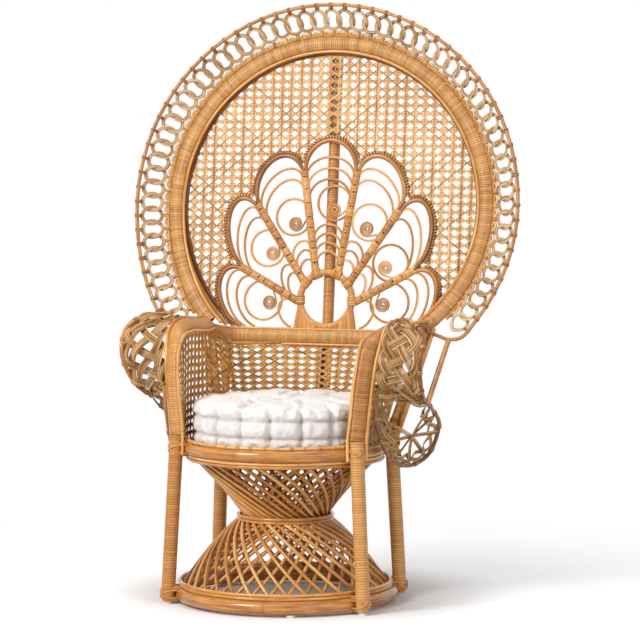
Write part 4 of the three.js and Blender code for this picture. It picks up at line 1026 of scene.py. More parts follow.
scrolls = []
arches = new_piece()
tip_swell = np.interp(np.linspace(0, 1, 33), *TIP_SWELL)
for number, (petal, mirror) in enumerate(PETALS, 1):
    first, second, outward, length = petal_run(petal, mirror)
    run = arch(first[1], second[1], PETAL_BULGES[petal], outward, 32)
    bm = new_piece()
    strand(bm, lifted(run), TIP_ROD, sides=12, face=BACK_FACE, swell=tip_swell)
    for leg in (first, second) if petal > 0 else (second,):
        strand(bm, lifted(np.linspace(leg[0], leg[1], 4)), PETAL_ROD, sides=12, face=BACK_FACE)
    for i in range(ARCH_COUNTS[petal]):
        start, end = across_petal((first, second), TIP_ARCH_SHARE - ARCH_SPACING * i / length)
        double_strand(arches, lifted(arch(start, end, ARCH_RISE, outward)))
    for i in range(HUB_ARCH_COUNTS[petal]):
        start, end = across_petal((first, second), HUB_ARCH_SHARE + HUB_ARCH_SPACING * i / length)
        double_strand(arches, lifted(arch(start, end, np.linalg.norm(end - start) / 2, outward, 16)))
    seat, other = (first, second) if petal > 0 and mirror > 0 else (second, first)
    middle, way, loop = petal_loop(petal, seat, other)
    double_strand(arches, lifted(loop))
    scrolls.append((number, petal, mirror, seat, middle, way, outward))
    finish_piece(f"bent_petal_{number}", bm, darker_pole, [f"petal_{number}"])
finish_piece("petal_arches", arches, varnished_pole)

# %% [markdown]
# ### Scrolls
# Each scroll is one round strand that leaves the petal's side, reaches the coil and winds in to a tight eye.

# %% Scrolls
SCROLL_TURNS, SCROLL_PITCH, SCROLL_EYE = 3.5, 4.7, 2.4
SCROLL_DROP, SCROLL_TAIL_DROP, SCROLL_TAIL_BACK = 18, 13, 5.5
SCROLL_ROD = 3.8

for number, petal, mirror, seat, middle, way, outward in scrolls:
    handed = 1 if petal == 0 and mirror > 0 else -1
    coil = SCROLL_EYE + SCROLL_PITCH * SCROLL_TURNS
    centre = middle - outward * SCROLL_DROP
    hubward = unit(seat[0] - seat[1])
    tail = middle + way + hubward * SCROLL_TAIL_DROP - unit(way) * SCROLL_TAIL_BACK
    offset = tail - centre
    meet = np.arctan2(offset[1], offset[0]) + handed * np.arccos(coil / np.linalg.norm(offset))
    turn = np.linspace(0, SCROLL_TURNS, 85)
    angle = meet + handed * tau * turn
    radius = coil - SCROLL_PITCH * turn
    winding = centre + np.column_stack([np.cos(angle) * radius, np.sin(angle) * radius])
    path = np.vstack([np.linspace(tail, winding[0], 6)[:-1], winding])
    bm = new_piece()
    strand(bm, lifted(path), SCROLL_ROD, sides=8, face=BACK_FACE)
    finish_piece(f"wound_scroll_{number}", bm, raw_cane, [f"scroll_{number}"])

# %% [markdown]
# ### Rail, hub and spokes
# The rail closes the fan below and turns forward at both ends to meet the arms. The hub ring gathers the
# spokes and spreads into feet on the rail. Peel binds the two rods of each spoke together from the hub
# almost to the tip, in short runs with a gap between them, and a few turns tie each spoke to the hub.

# %% Rail, hub and wrapped spokes
RAIL_ROUTE = [(0, -18, 8.5), (200, -18, 8.5), (262, -18, 8.5), (278, -16, 26), (287, -12, 62)]
RAIL_WIDTH, RAIL_THICKNESS, RAIL_PITCH = 34, 18, 6.0
RAIL_ROD, RAIL_ROD_LEVELS, RAIL_ROD_FORWARD = 6, (18.5, -19.5), 2
HUB_RADIUS, HUB_ROD, HUB_THICKNESS, HUB_UP = 69, 17, 13, 76.8
HUB_PITCH = 4.6
FOOT_HEADS, FOOT_ENDS = radians(-62), radians(-14)
FOOT_SPREAD, FOOT_LEVEL, FOOT_FORWARD = (30, 42, 54, 66, 78), -5, 3.5
FOOT_WIDTH, FOOT_THICKNESS, FOOT_BEND = 12.5, 8, 0.4
SPOKE_WIDTH, SPOKE_THICKNESS, SPOKE_PITCH, SPOKE_SINK, SPOKE_SHARE = 20.5, 11.4, 4.7, 7, 0.98
FEWEST_TURNS, MOST_TURNS, LEAST_GAP, GAP_SPREAD = 3, 8, 2.0, 3.0
HUB_TIE = 4.6
HUB_TIE_SIZE = {"half_side": 11.5, "half_up": 8.2, "width": 4.2, "thickness": 1.6, "square": 2.4}

rail_half = bend(RAIL_ROUTE)
rail = np.vstack([rail_half[::-1] * (-1, 1, 1), rail_half[1:]])
bm = new_piece()
wound(bm, on_back(*rail.T), RAIL_WIDTH, RAIL_THICKNESS, RAIL_PITCH, 16, BACK_FACE)
for level in RAIL_ROD_LEVELS:
    path = on_back(*(rail + (0, level, RAIL_ROD_FORWARD)).T)
    strand(bm, path, RAIL_ROD, sides=8, face=BACK_FACE)
finish_piece("wound_rail", bm, wrapped_peel, ["back_rail"])

bm = new_piece()
turned = np.linspace(-pi / 2, 1.5 * pi, 61)
path = on_back(HUB_RADIUS * np.cos(turned), HUB_UP + HUB_RADIUS * np.sin(turned), PETAL_FORWARD)
wound(bm, path, HUB_ROD, HUB_THICKNESS, HUB_PITCH, 10, BACK_FACE)
for mirror in (-1, 1):
    for foot, head in zip(FOOT_SPREAD, np.linspace(FOOT_HEADS, FOOT_ENDS, len(FOOT_SPREAD))):
        start = np.array([HUB_RADIUS * cos(head), HUB_UP + HUB_RADIUS * sin(head)])
        middle = (start[0] * FOOT_BEND + foot * (1 - FOOT_BEND), start[1] * FOOT_BEND)
        path = bend([flat(place, mirror) for place in (start, middle, (foot, FOOT_LEVEL))])
        strand(bm, lifted(path, PETAL_FORWARD + FOOT_FORWARD), FOOT_WIDTH, FOOT_THICKNESS, 8, BACK_FACE)
finish_piece("wound_hub", bm, aged_peel, ["fan_hub"])


def bound(bm, path, width, thickness, pitch):
    total, place = lengths(path)[-1], 0.0
    while place < total - 2 * pitch:
        reach = min(total, place + pitch * draws.integers(FEWEST_TURNS, MOST_TURNS))
        wound(bm, walk(path, np.linspace(place, reach, 6)), width, thickness, pitch, 14, BACK_FACE)
        place = reach + LEAST_GAP + GAP_SPREAD * draws.random()


bm = new_piece()
hub_centre = np.array([0, HUB_UP])
for spoke in range(3):
    for mirror in (-1, 1):
        root, tip = flat(SPOKE_ROOTS[spoke], mirror), flat(SPOKE_TIPS[spoke], mirror)
        path = np.linspace(root - unit(tip - root) * SPOKE_SINK, root + (tip - root) * SPOKE_SHARE, 12)
        bound(bm, lifted(path), SPOKE_WIDTH, SPOKE_THICKNESS, SPOKE_PITCH)
        outward = unit(root - hub_centre)
        around_hub = np.array([-outward[1], outward[0]])
        for k in (-2, -1, 0, 1, 2):
            place = hub_centre + outward * HUB_RADIUS + around_hub * k * HUB_TIE
            radial = on_back(*outward, 0) - on_back(0, 0, 0)
            tie(bm, on_back(*place, PETAL_FORWARD), radial, BACK_FACE, **HUB_TIE_SIZE)
finish_piece("wrapped_spokes", bm, aged_peel)

# %% [markdown]
# ### Edge of the cane
# A thin rod hides the cut edge of the cane sheet round every petal, and a dark rod does so inside the hoop.
# A dark whip stitch ties both down. Each stitch is a slanted tie. The stitches and the hoop's rod are partly
# the binding's own dark colour and partly painted shade, where the sheet meets the hoop and between stitches.

# %% Edge rods and their stitches
STITCH_STEP, STITCH_SLANT, STITCH_SINK = 8, 0.6, 0.8
STITCH_SIZE = {"half_side": 4.5, "half_up": 4.6, "width": 3.0, "thickness": 1.3, "steps": 8}
EDGE_OFFSET, EDGE_FORWARD = 9.0, 4.2
PETAL_EDGE, HOOP_EDGE = 6.6, 10
SHEET_EDGE_RADIUS, SHEET_EDGE_LOW = 390, radians(-43.5)
edge_rods, stitches = new_piece(), new_piece()


def stitched_edge(run, rods, width):
    strand(rods, lifted(run, EDGE_FORWARD), width, sides=8, face=BACK_FACE)
    along = unit(np.gradient(run, axis=0))
    for place, way in zip(run[1:-1], along[1:-1]):
        slanted = unit(way + STITCH_SLANT * np.array([-way[1], way[0]]))
        across = on_back(-slanted[1], slanted[0], 0) - on_back(0, 0, 0)
        centre = on_back(place[0], place[1], EDGE_FORWARD - STITCH_SINK)
        tie(stitches, centre, across, BACK_FACE, **STITCH_SIZE)


rim_angles = np.linspace(SHEET_EDGE_LOW, pi - SHEET_EDGE_LOW, 200)
hoop_edge = SHEET_EDGE_RADIUS * np.column_stack([np.cos(rim_angles), np.sin(rim_angles)]) + (0, BACK_CENTRE)
# The hoop's edge rod goes with the stitches and takes their dark tones, partly painted shade.
stitched_edge(evenly(hoop_edge, STITCH_STEP), stitches, HOOP_EDGE)
for petal, mirror in PETALS:
    first, second, outward, length = petal_run(petal, mirror)
    run = arch(first[1], second[1], PETAL_BULGES[petal], outward, 60)
    along = unit(np.gradient(run, axis=0))
    aside = np.column_stack([-along[:, 1], along[:, 0]])
    aside = aside * np.sign((aside @ outward).sum())
    run = evenly((run + aside * EDGE_OFFSET)[5:-5], STITCH_STEP)
    stitched_edge(run, edge_rods, PETAL_EDGE)
finish_piece("cane_edge_rods", edge_rods, raw_cane)
finish_piece("cane_stitches", stitches, dark_binding_and_painted_shade)

# %% [markdown]
# ## Cane with diamond eyes
# The sheet above the fan and the shell behind the seat are woven cane: pairs of upright and level strands,
# and single strands that slant both ways across them and leave rows of diamond eyes. The slanting strands go
# over and under each other in turn. One function finds the runs of every strand inside a region, and the
# sheet and the shell only differ in their spacing and in how a flat place becomes a real one.

# %% Runs of cane
CANE_GAUGE, CANE_LIFT = 1.3, 1.1
UPRIGHT_SHARE, SLANT_SHARE, PAIR_GAP, SLANT_FORWARD = 1.25, 1.2, 0.3, 0.8
PAIR_LIFT = 0.6
END_TRIES, END_SINK = 25, 0.2


def within(points, outline):
    x, y = points.T
    (x1, y1), (x2, y2) = outline.T, np.roll(outline, -1, axis=0).T
    rise = np.where(y2 == y1, 1e-9, y2 - y1)
    meets = (x2 - x1)[:, None] * (y - y1[:, None]) / rise[:, None] + x1[:, None]
    return (((y1[:, None] > y) != (y2[:, None] > y)) & (x < meets)).sum(axis=0) % 2 == 1


def cane_lines(period, reach, strand_width):
    half_x, half_y = period[0] / 2, period[1] / 2
    across, up = int(reach[0] / period[0]) + 1, int(reach[1] / period[1]) + 1
    far = 2 * (across + up)
    marks = np.arange(-far, far + 1)
    even = marks % 2 == 0
    for offset in (-0.5, 0.5):
        for i in range(-across, across):
            place = (i + 0.5) * period[0] + offset * (strand_width * UPRIGHT_SHARE + PAIR_GAP)
            points = np.column_stack([np.full(len(marks), place), marks * half_y])
            yield points, np.where(even, 0.0, PAIR_LIFT) * CANE_LIFT, strand_width * UPRIGHT_SHARE
        for j in range(-up, up):
            place = (j + 0.5) * period[1] + offset * (strand_width + PAIR_GAP)
            points = np.column_stack([marks * half_x, np.full(len(marks), place)])
            yield points, np.where(even, 0.0, -PAIR_LIFT) * CANE_LIFT, strand_width
    for slope in (1, -1):
        for i in range(-across - up, across + up):
            points = np.column_stack([(i + 0.5) * period[0] + marks * half_x, slope * marks * half_y])
            lifts = np.where(even, slope, -slope) * CANE_LIFT + SLANT_FORWARD
            yield points, lifts, strand_width * SLANT_SHARE


def run_on(inside, place, step):
    shares = np.linspace(0, 1, END_TRIES)
    kept = inside(place + shares[:, None] * step)
    return step * (1.0 if kept.all() else shares[np.argmin(kept) - 1]) + unit(step) * END_SINK


def cane_runs(inside, centre, period, reach, strand_width):
    for points, lifts, width in cane_lines(period, reach, strand_width):
        points = points + centre
        step = points[1] - points[0]
        kept = np.concatenate([[False], inside(points), [False]])
        starts, stops = np.flatnonzero(kept[1:] & ~kept[:-1]), np.flatnonzero(kept[:-1] & ~kept[1:])
        for start, stop in zip(starts, stops):
            run = points[start:stop]
            head, foot = run[0] + run_on(inside, run[0], -step), run[-1] + run_on(inside, run[-1], step)
            lift = np.concatenate([[0], lifts[start:stop], [0]])
            yield np.column_stack([np.vstack([head, run, foot]), lift]), width


print("cane runs ready")

# %% Cane sheet of the back
CANE_FOOT, FAN_FOOT = 40, -60.0
SHEET_RADIUS, SHEET_REACH = 397, (410, 420)
SHEET_PERIOD, SHEET_STRAND = (25.5, 20.6), 2.6
fan_outline = [np.array([[-LOW_FOOT[0], FAN_FOOT]])]
for petal, mirror in PETALS:
    first, second, outward, length = petal_run(petal, mirror)
    run = arch(first[1], second[1], PETAL_BULGES[petal], outward)
    fan_outline.append(run if mirror < 0 else run[::-1])
fan_outline = np.vstack(fan_outline + [np.array([[LOW_FOOT[0], FAN_FOOT]])])


def in_sheet(points):
    across, up = points.T
    in_hoop = np.hypot(across, up - BACK_CENTRE) < SHEET_RADIUS
    return in_hoop & (up > CANE_FOOT) & ~within(points, fan_outline)


sheet_middle = np.array([0.0, BACK_CENTRE])
bm = new_piece()
for run, width in cane_runs(in_sheet, sheet_middle, SHEET_PERIOD, SHEET_REACH, SHEET_STRAND):
    strand(bm, on_back(*run.T), width, CANE_GAUGE, 4, BACK_FACE)
finish_piece("cane_sheet", bm, woven_cane, ["cane_field"])

# %% [markdown]
# ## Pole and braces behind the back
# A pole runs up the middle behind the fan, from the seat ring to the hoop. It is wrapped where the fan is and
# bare below and above it, where it shows only through the cane and its darker tones are painted shade. Two
# slimmer poles brace the rail from the rear legs, and are lashed at both ends.

# %% Centre pole and braces
CENTRE_POLE, POLE_PITCH, POLE_STEP = 28, 6.2, 40
POLE_BEHIND, POLE_FORWARD, POLE_LEVELS = 29.3, -15.8, [-30, 120, 300, 478, 704]
WRAPPED_SPAN = (1, 4)
BRACE, BRACE_SINK, BRACE_HEAD = 20, 14, (256, -37, 8.5)
BRACE_TIES, FIRST_TIE, BRACE_TIE_STEP = 6, 4, 4.4
BRACE_TIE_SIZE = {"width": 4.0, "thickness": 1.3, "square": 2.0}
pole_foot = (0, SEAT_RADIUS + POLE_BEHIND, SEAT_HEIGHT)
pole_path = np.vstack([pole_foot, on_back(0, POLE_LEVELS, POLE_FORWARD)])
low, high = WRAPPED_SPAN
bm = new_piece()
wound(bm, pole_path[low:high + 1], CENTRE_POLE, pitch=POLE_PITCH, sides=14)
finish_piece("wrapped_centre_pole", bm, aged_peel, ["centre_pole"])
# The bare parts, behind the cane sheet and the shell, take the painted shade finish.
bm = new_piece()
for bare in (pole_path[:low + 1], pole_path[high:]):
    strand(bm, evenly(bare, POLE_STEP), CENTRE_POLE, sides=14)
finish_piece("bare_centre_pole", bm, painted_shade_pole)

for side, sign in SIDES:
    foot = around(leg_reach(LEG_TOP), sign * LEG_ANGLES["rear"], LEG_TOP)
    head = on_back(sign * BRACE_HEAD[0], *BRACE_HEAD[1:])
    bm = new_piece()
    strand(bm, np.linspace(foot, head + unit(head - foot) * BRACE_SINK, 24), BRACE, sides=14)
    for end, way in ((foot, head - foot), (head, foot - head)):
        upright = np.cross(unit(way), ACROSS)
        for k in range(BRACE_TIES):
            place = end + unit(way) * (FIRST_TIE + BRACE_TIE_STEP * k)
            tie(bm, place, ACROSS, upright, BRACE / 2 + 1, BRACE / 2 + 1, **BRACE_TIE_SIZE)
    finish_piece(f"brace_pole_{side}", bm, varnished_pole, [f"back_brace_{side}"])

# %% [markdown]
# ### Props
# Two thin poles run side by side from the top of each rear leg to the low corner of the band, outside the
# brace. They are plain strands.

# %% Prop poles
PROP, PROP_TURN, PROP_OUT, PROP_RISE = 12, 0.05, 20, 8
PROP_HEAD, PROP_STEP = (300, 9, 72), 16
for side, sign in SIDES:
    bm = new_piece()
    for k in (-0.5, 0.5):
        angle = sign * (LEG_ANGLES["rear"] - k * PROP_TURN)
        foot = around(SEAT_RADIUS + SEAT_POLE / 2 + PROP / 2 + PROP_OUT, angle, SEAT_HEIGHT + PROP_RISE)
        head = on_back(sign * (PROP_HEAD[0] + PROP_STEP * k), *PROP_HEAD[1:])
        strand(bm, np.linspace(foot, head, 16), PROP, sides=12)
    finish_piece(f"prop_poles_{side}", bm, varnished_pole)

# %% [markdown]
# ## Arms
# Each arm rises from the front leg as a wound band, rolls over, and runs back to the foot of the round
# back, with a polished rod along both edges. The same path that the solid follows is walked here, and the
# band's width turns from facing forward on the post to lying over on top.

# %% Arm bands and edge rods
ARM_WIDTH, ARM_THICKNESS, ARM_PITCH, ARM_ROD_GAP = 36, 15, 5.8, 4.3
ROLL_START, ROLL_SPAN = 0.35, 0.27
ARM_TURN, ARM_ROLL = radians(30), radians(45)
ARM_ROUTE = [(247, -124, 592), (251, -84, 650), (257, -16, 668), (262, 110, 661)]
BAND_END = on_hoop(BAND_RADIUS, lowest(BAND_RADIUS), BAND_FORWARD + 8)


def arm_run(sign):
    post_top = around(leg_reach(LEG_TOP), LEG_ANGLES["front"], LEG_TOP)
    route = np.vstack([post_top, ARM_ROUTE, BAND_END - (0, 1, 0)])
    path = evenly(bend(route * (sign, 1, 1)), 6)
    share = lengths(path) / lengths(path)[-1]
    roll = np.clip((share - ROLL_START) / ROLL_SPAN, 0, 1)
    roll = (roll * roll * (3 - 2 * roll))[:, None]
    post = np.array([sign * cos(ARM_TURN), sin(ARM_TURN), 0])
    top = np.array([sign * cos(ARM_ROLL), 0, sin(ARM_ROLL)])
    tangent = unit(np.gradient(path, axis=0))
    across = post * (1 - roll) + top * roll
    across = unit(across - tangent * (across * tangent).sum(axis=1, keepdims=True))
    return path, across, np.cross(tangent, across)


def edge_rod(path, across, side):
    rod = path + across * side * (ARM_WIDTH / 2 + ARM_ROD_GAP)
    low = rod[0].copy()
    low[2] = SEAT_HEIGHT - SEAT_POLE / 2
    return np.vstack([np.linspace(low, rod[0], 6)[:-1], rod])


for side, sign in SIDES:
    path, across, face = arm_run(sign)
    bm = new_piece()
    wound(bm, path, ARM_WIDTH, ARM_THICKNESS, ARM_PITCH, 16, face)
    finish_piece(f"wound_arm_{side}", bm, aged_peel, [f"arm_band_{side}"])
    for edge, way in (("outer", 1), ("inner", -1)):
        bm = new_piece()
        strand(bm, edge_rod(path, across, way), THIN_ROD, sides=10)
        finish_piece(f"arm_{edge}_rod_{side}", bm, varnished_pole, [f"arm_{edge}_trim_{side}"])

# %% [markdown]
# ## Wings
# A rod leaves the top of each arm, rounds the open side, hangs down beside the leg and comes back to the
# post. Five bands of six strands swing from side to side down the upper ear and weave over and under each
# other, a twisted belt closes it, and a star of bands with two wavy garlands fills the lower ring. The ear's
# bands run on a sheet stretched between the arm's edge and the rod.

# %% Lines and bands of a wing
WING_ROD, WING_ASIDE, WING_FRONT = 10, 7.6, (0.25, -1.0, 0.15)
WING_ROUTE = [
    (345, -70, 690), (379, -90, 665), (380, -122, 605), (368, -64, 523), (350, 80, 470),
    (345, 150, 425), (330, 120, 360), (300, 60, 335), (280, -40, 365), (270, -95, 430),
]
WING_START, WING_END = 9 / 14, 3 / 14
WING_BINDING, BINDING_STEP, BINDING_TILT = 62, 3.4, (0.3, 0.2, 1.0)
BINDING_SIZE = {"width": 3.2, "thickness": 1.3, "steps": 10, "square": 2.0}
STRAND_STEP, STRAND_GAP, STRAND_GAUGE = 3.5, 0.7, 2.4


def woven_band(bm, path, face, lift, strands=4):
    aside = unit(np.cross(face, np.gradient(path, axis=0)))
    facing = unit(np.cross(np.gradient(path, axis=0), aside))
    path = path + facing * lift[:, None]
    for k in range(strands):
        offset = (k - (strands - 1) / 2) * STRAND_STEP
        strand(bm, path + aside * offset, STRAND_STEP - STRAND_GAP, STRAND_GAUGE, 4, facing)


def share_of(path, shares):
    return walk(path, np.asarray(shares) * lengths(path)[-1])


def wing_lines(sign):
    path, across, face = arm_run(sign)
    edge = path + across * (ARM_WIDTH / 2 + ARM_ROD_GAP)
    start, end = share_of(edge, [WING_START, WING_END]) + (sign * WING_ASIDE, 0, 0)
    rod = bend(np.vstack([start, np.array(WING_ROUTE) * (sign, 1, 1), end]))
    return edge, rod, end


def wing_frame(bm, rod):
    strand(bm, evenly(rod, 8), WING_ROD, sides=10)
    reach = WING_ROD / 2 + 1
    places = evenly(rod, WING_BINDING)
    for place, way in zip(places[1:-1], unit(np.gradient(places, axis=0))[1:-1]):
        level = unit(np.cross(way, BINDING_TILT))
        for k in (-1, 0, 1):
            centre = place + way * k * BINDING_STEP
            tie(bm, centre, level, np.cross(way, level), reach, reach, **BINDING_SIZE)


print("wing bands ready")

# %% Ear, belt and star of a wing
EAR_BANDS, EAR_STRANDS, EAR_REACH, EAR_LIFT = 5, 6, 0.43, 6.0
EAR_TOP, EAR_EDGE_TOP, EAR_ASIDE, EAR_START, EAR_SPAN = 0.05, 8.6 / 14, 0.8, 0.02, 0.96
BELT_SHARE, BELT_TURNS, BELT_SWING, BELT_LIFT = 0.40, 1.5, 8, 3.5
RING_PARTS, RING_END = 64, 0.97
STAR_BANDS, STAR_STRANDS, STAR_LIFT = 4, 3, 2.2
GARLAND_WAVES, GARLAND_SHARE, GARLAND_SWING, GARLAND_LIFT = 5, 0.74, 0.12, 4.5


def woven_ear(bm, ear_edge, ear_rod, front):
    theta = np.linspace(0, tau, 90)
    along = EAR_START + EAR_SPAN * theta / tau
    near, far = share_of(ear_edge, along), share_of(ear_rod, along)
    for phase in tau * np.arange(EAR_BANDS) / EAR_BANDS:
        swing = 0.5 - EAR_REACH * np.cos(theta + phase)
        lift = EAR_LIFT * np.sin((EAR_BANDS - 1) * (theta + phase))
        woven_band(bm, near + (far - near) * swing[:, None], front, lift, EAR_STRANDS)


def twisted_belt(bm, start, end, front):
    for phase in (0, pi):
        belt = np.linspace(start, end, 40)
        turn = np.linspace(0, tau * BELT_TURNS, 40) + phase
        belt[:, 2] += BELT_SWING * np.sin(turn)
        woven_band(bm, belt, front, BELT_LIFT * np.cos(turn))


def woven_star(bm, ring):
    middle = ring.mean(axis=0)
    quarter = RING_PARTS // 4
    face = unit(np.cross(ring[quarter] - ring[0], ring[3 * quarter] - ring[0]))
    for k in range(STAR_BANDS):
        first = quarter * (2 * k + 1) // STAR_BANDS
        spoke = bend([ring[first], middle, ring[first + 2 * quarter]], 10)
        lift = STAR_LIFT * (k - (STAR_BANDS - 1) / 2)
        woven_band(bm, spoke, face, np.full(len(spoke), lift), STAR_STRANDS)
    wave = np.linspace(0, GARLAND_WAVES * tau, len(ring))
    for phase in (0, pi):
        share = GARLAND_SHARE + GARLAND_SWING * np.cos(wave + phase)
        garland = middle + (ring - middle) * share[:, None]
        woven_band(bm, garland, face, GARLAND_LIFT * np.sin(wave + phase), STAR_STRANDS)


print("ear, belt and star ready")

# %% Wings and their hanging poles
STAY, STAY_SHARE = 13, 9 / 22
for side, sign in SIDES:
    edge, rod, end = wing_lines(sign)
    bm = new_piece()
    wing_frame(bm, rod)
    finish_piece(f"wing_frame_{side}", bm, darker_pole)

    ear_rod = share_of(rod, np.linspace(EAR_TOP, BELT_SHARE, 60))
    ear_edge = share_of(edge, np.linspace(EAR_EDGE_TOP, WING_END, 60)) + (sign * WING_ASIDE * EAR_ASIDE, 0, 0)
    front = np.array(WING_FRONT) * (sign, 1, 1)
    bm = new_piece()
    woven_ear(bm, ear_edge, ear_rod, front)
    twisted_belt(bm, end, ear_rod[-1], front)
    woven_star(bm, share_of(rod, np.linspace(BELT_SHARE, RING_END, RING_PARTS + 1)))
    finish_piece(f"woven_wing_{side}", bm, knotted_cane, [f"wing_{side}"])

    hang = share_of(rod, [STAY_SHARE])[0]
    bm = new_piece()
    strand(bm, np.linspace(rim_tail(sign)[0], hang, 12), STAY, sides=12)
    finish_piece(f"hanging_pole_{side}", bm, varnished_pole, [f"wing_stay_{side}"])

# %% [markdown]
# ## Woven shell behind the seat
# The same cane, woven closer, fills the space between the seat ring, the arms and the rail, on two stakes
# and under an edge rod. A flat place, its distance round the seat and its height, is carried onto the shell.

# %% Shell of cane on stakes
SHELL_FOOT = 394.3
SHELL_HALF_ANGLE = pi - radians(56)
SHELL_OUT, SHELL_FLARE, FLARE_POWER = 4, 7, 8
SHELL_TOP = [(130, 278, 606), (228, 224, 607), (256, 150, 641), (249, 60, 647), (241, -39, 650),
             (233, -102, 616), (232, -128, 590)]
SHELL_BACK, SHELL_HEIGHT = (0, 288, 606), 225
SHELL_PERIOD, SHELL_REACH, SHELL_STRAND, SHELL_EDGE = (24.0, 16.0), (500, 130), 3.2, 6
STAKE, STAKE_PLACE, STAKE_BEHIND = 7, 232, 4.5
right_top = np.array(SHELL_TOP, float)
shell_top = bend(np.vstack([right_top[::-1] * (-1, 1, 1), SHELL_BACK, right_top]))
shell_length = SEAT_RADIUS * SHELL_HALF_ANGLE


def on_shell(run, lift):
    angle = np.clip(run[:, 0] / SEAT_RADIUS, -SHELL_HALF_ANGLE, SHELL_HALF_ANGLE)
    flare = SHELL_FLARE * (angle / SHELL_HALF_ANGLE) ** FLARE_POWER
    low = around(1, pi - angle, 0.0) * (SEAT_RADIUS + SHELL_OUT + flare)[:, None] + (0, 0, SHELL_FOOT)
    high = share_of(shell_top, (angle / SHELL_HALF_ANGLE + 1) / 2)
    inward = -around(1, pi - angle, 0.0)
    return low + (high - low) * np.clip(run[:, 1:2] / SHELL_HEIGHT, 0, 1) + inward * lift[:, None], inward


def in_shell(points):
    across, up = points.T
    return (np.abs(across) < shell_length) & (up > 0) & (up < SHELL_HEIGHT)


shell_middle = np.array([0.0, SHELL_HEIGHT / 2])
bm = new_piece()
for run, width in cane_runs(in_shell, shell_middle, SHELL_PERIOD, SHELL_REACH, SHELL_STRAND):
    places, inward = on_shell(run, run[:, 2])
    strand(bm, places, width, CANE_GAUGE, 4, inward)
for stake in (-STAKE_PLACE, STAKE_PLACE):
    places, inward = on_shell(np.linspace((stake, 0), (stake, SHELL_HEIGHT), 8), np.full(8, -STAKE_BEHIND))
    strand(bm, places, STAKE, sides=8, face=inward)
edge = np.linspace((-shell_length, SHELL_HEIGHT), (shell_length, SHELL_HEIGHT), 90)
places, inward = on_shell(edge, np.zeros(90))
strand(bm, places, SHELL_EDGE, sides=8, face=inward)
finish_piece("woven_shell", bm, raw_cane, ["lower_shell"])

# %% [markdown]
# ## Cushion
# A loose round cushion of white cotton lies on the seat. Two rolls hold a boxed side, upright tucks draw the
# side in, and folds run from the rim to the middle of the top. A turned profile gives the slack cover, cloth
# simulation blows it up like a filled cushion while the seams are held, and one subdivision smooths it.

# %% Slack cover of the cushion
CUSHION_PROFILE = [
    (0, 384.5), (130, 384.2), (208, 384.4), (221, 389), (226, 401), (221, 416.9), (224, 423), (226, 438),
    (224, 453), (221, 459.1), (227, 471), (223, 485), (205, 494), (120, 501), (0, 502),
]
TURN_STEPS = 120
cover = bmesh.new()
profile = [cover.verts.new((radius, 0, height)) for radius, height in CUSHION_PROFILE]
edges = [cover.edges.new(pair) for pair in zip(profile, profile[1:])]
bmesh.ops.spin(cover, geom=profile + edges, cent=(0, 0, 0), axis=(0, 0, 1), angle=tau, steps=TURN_STEPS,
               use_merge=True)
bmesh.ops.remove_doubles(cover, verts=cover.verts, dist=0.01)
bmesh.ops.recalc_face_normals(cover, faces=cover.faces)
cushion = finish_piece("cotton_cushion", cover, white_cotton, ["seat_cushion"], "cushion")

# %% Even mesh for the cover
VOXEL = 0.005


def baked_shape(piece):
    shape = bpy.data.meshes.new_from_object(piece.evaluated_get(bpy.context.evaluated_depsgraph_get()))
    shape.materials.clear()
    return shape


remesh = cushion.modifiers.new("even_mesh", "REMESH")
remesh.mode = "VOXEL"
remesh.voxel_size = VOXEL
cushion.data = baked_shape(cushion)
cushion.modifiers.clear()
cushion.data.materials.append(white_cotton.material)
places = np.array([vert.co for vert in cushion.data.vertices])
print(f"cushion: {len(places)} points")

# %% Distances from the tucks, folds and seams
TUCKS = 18
SEAM_LEVELS = (416.9, 459.1)
FOLD_RIM, FOLD_INNER, FOLD_TURN = 205, 86, tau / TUCKS
SHORT_FOLD = (0.42, 0.12)


def from_line(points, start, end):
    way = end - start
    share = np.clip(((points - start) @ way) / (way @ way), 0, 1)
    return np.linalg.norm(points - start - share[:, None] * way, axis=1)


def fold_lines():
    for k in range(TUCKS):
        turn = -tau * k / TUCKS - pi / 2
        rim = around(FOLD_RIM, turn, 0.0)[:2]
        if k % 2 == 0:
            yield rim, around(FOLD_INNER, turn - FOLD_TURN, 0.0)[:2]
            yield rim, around(FOLD_INNER, turn + FOLD_TURN, 0.0)[:2]
        else:
            yield rim * SHORT_FOLD[0], rim * SHORT_FOLD[1]


slack = (places - (0, AXIS_Y, 0)) / MM
height = slack[:, 2]
reach = np.hypot(slack[:, 0], slack[:, 1])
turned = (np.arctan2(slack[:, 1], slack[:, 0]) / tau * TUCKS) % 1.0
from_tuck = np.minimum(turned, 1 - turned) * tau / TUCKS * reach
from_fold = np.min([from_line(slack[:, :2], *line) for line in fold_lines()], axis=0)
from_seam = np.min([np.abs(height - level) for level in SEAM_LEVELS], axis=0)
print(f"cushion: {TUCKS} tucks and {len(list(fold_lines()))} folds")

# %% Draw the cover in along them
SIDE_START, SIDE_SPAN = 190, 20
FOOT, FOOT_SPAN = 386, 8
TOP_START, TOP_SPAN = 480, 10
TUCK_WIDTH, TUCK_DEPTH = 9.0, 12.0
SEAM_WIDTH, SEAM_DEPTH = 4.5, 6.0


def dent(distance, width, depth):
    return depth * np.exp(-(distance / width) ** 2)


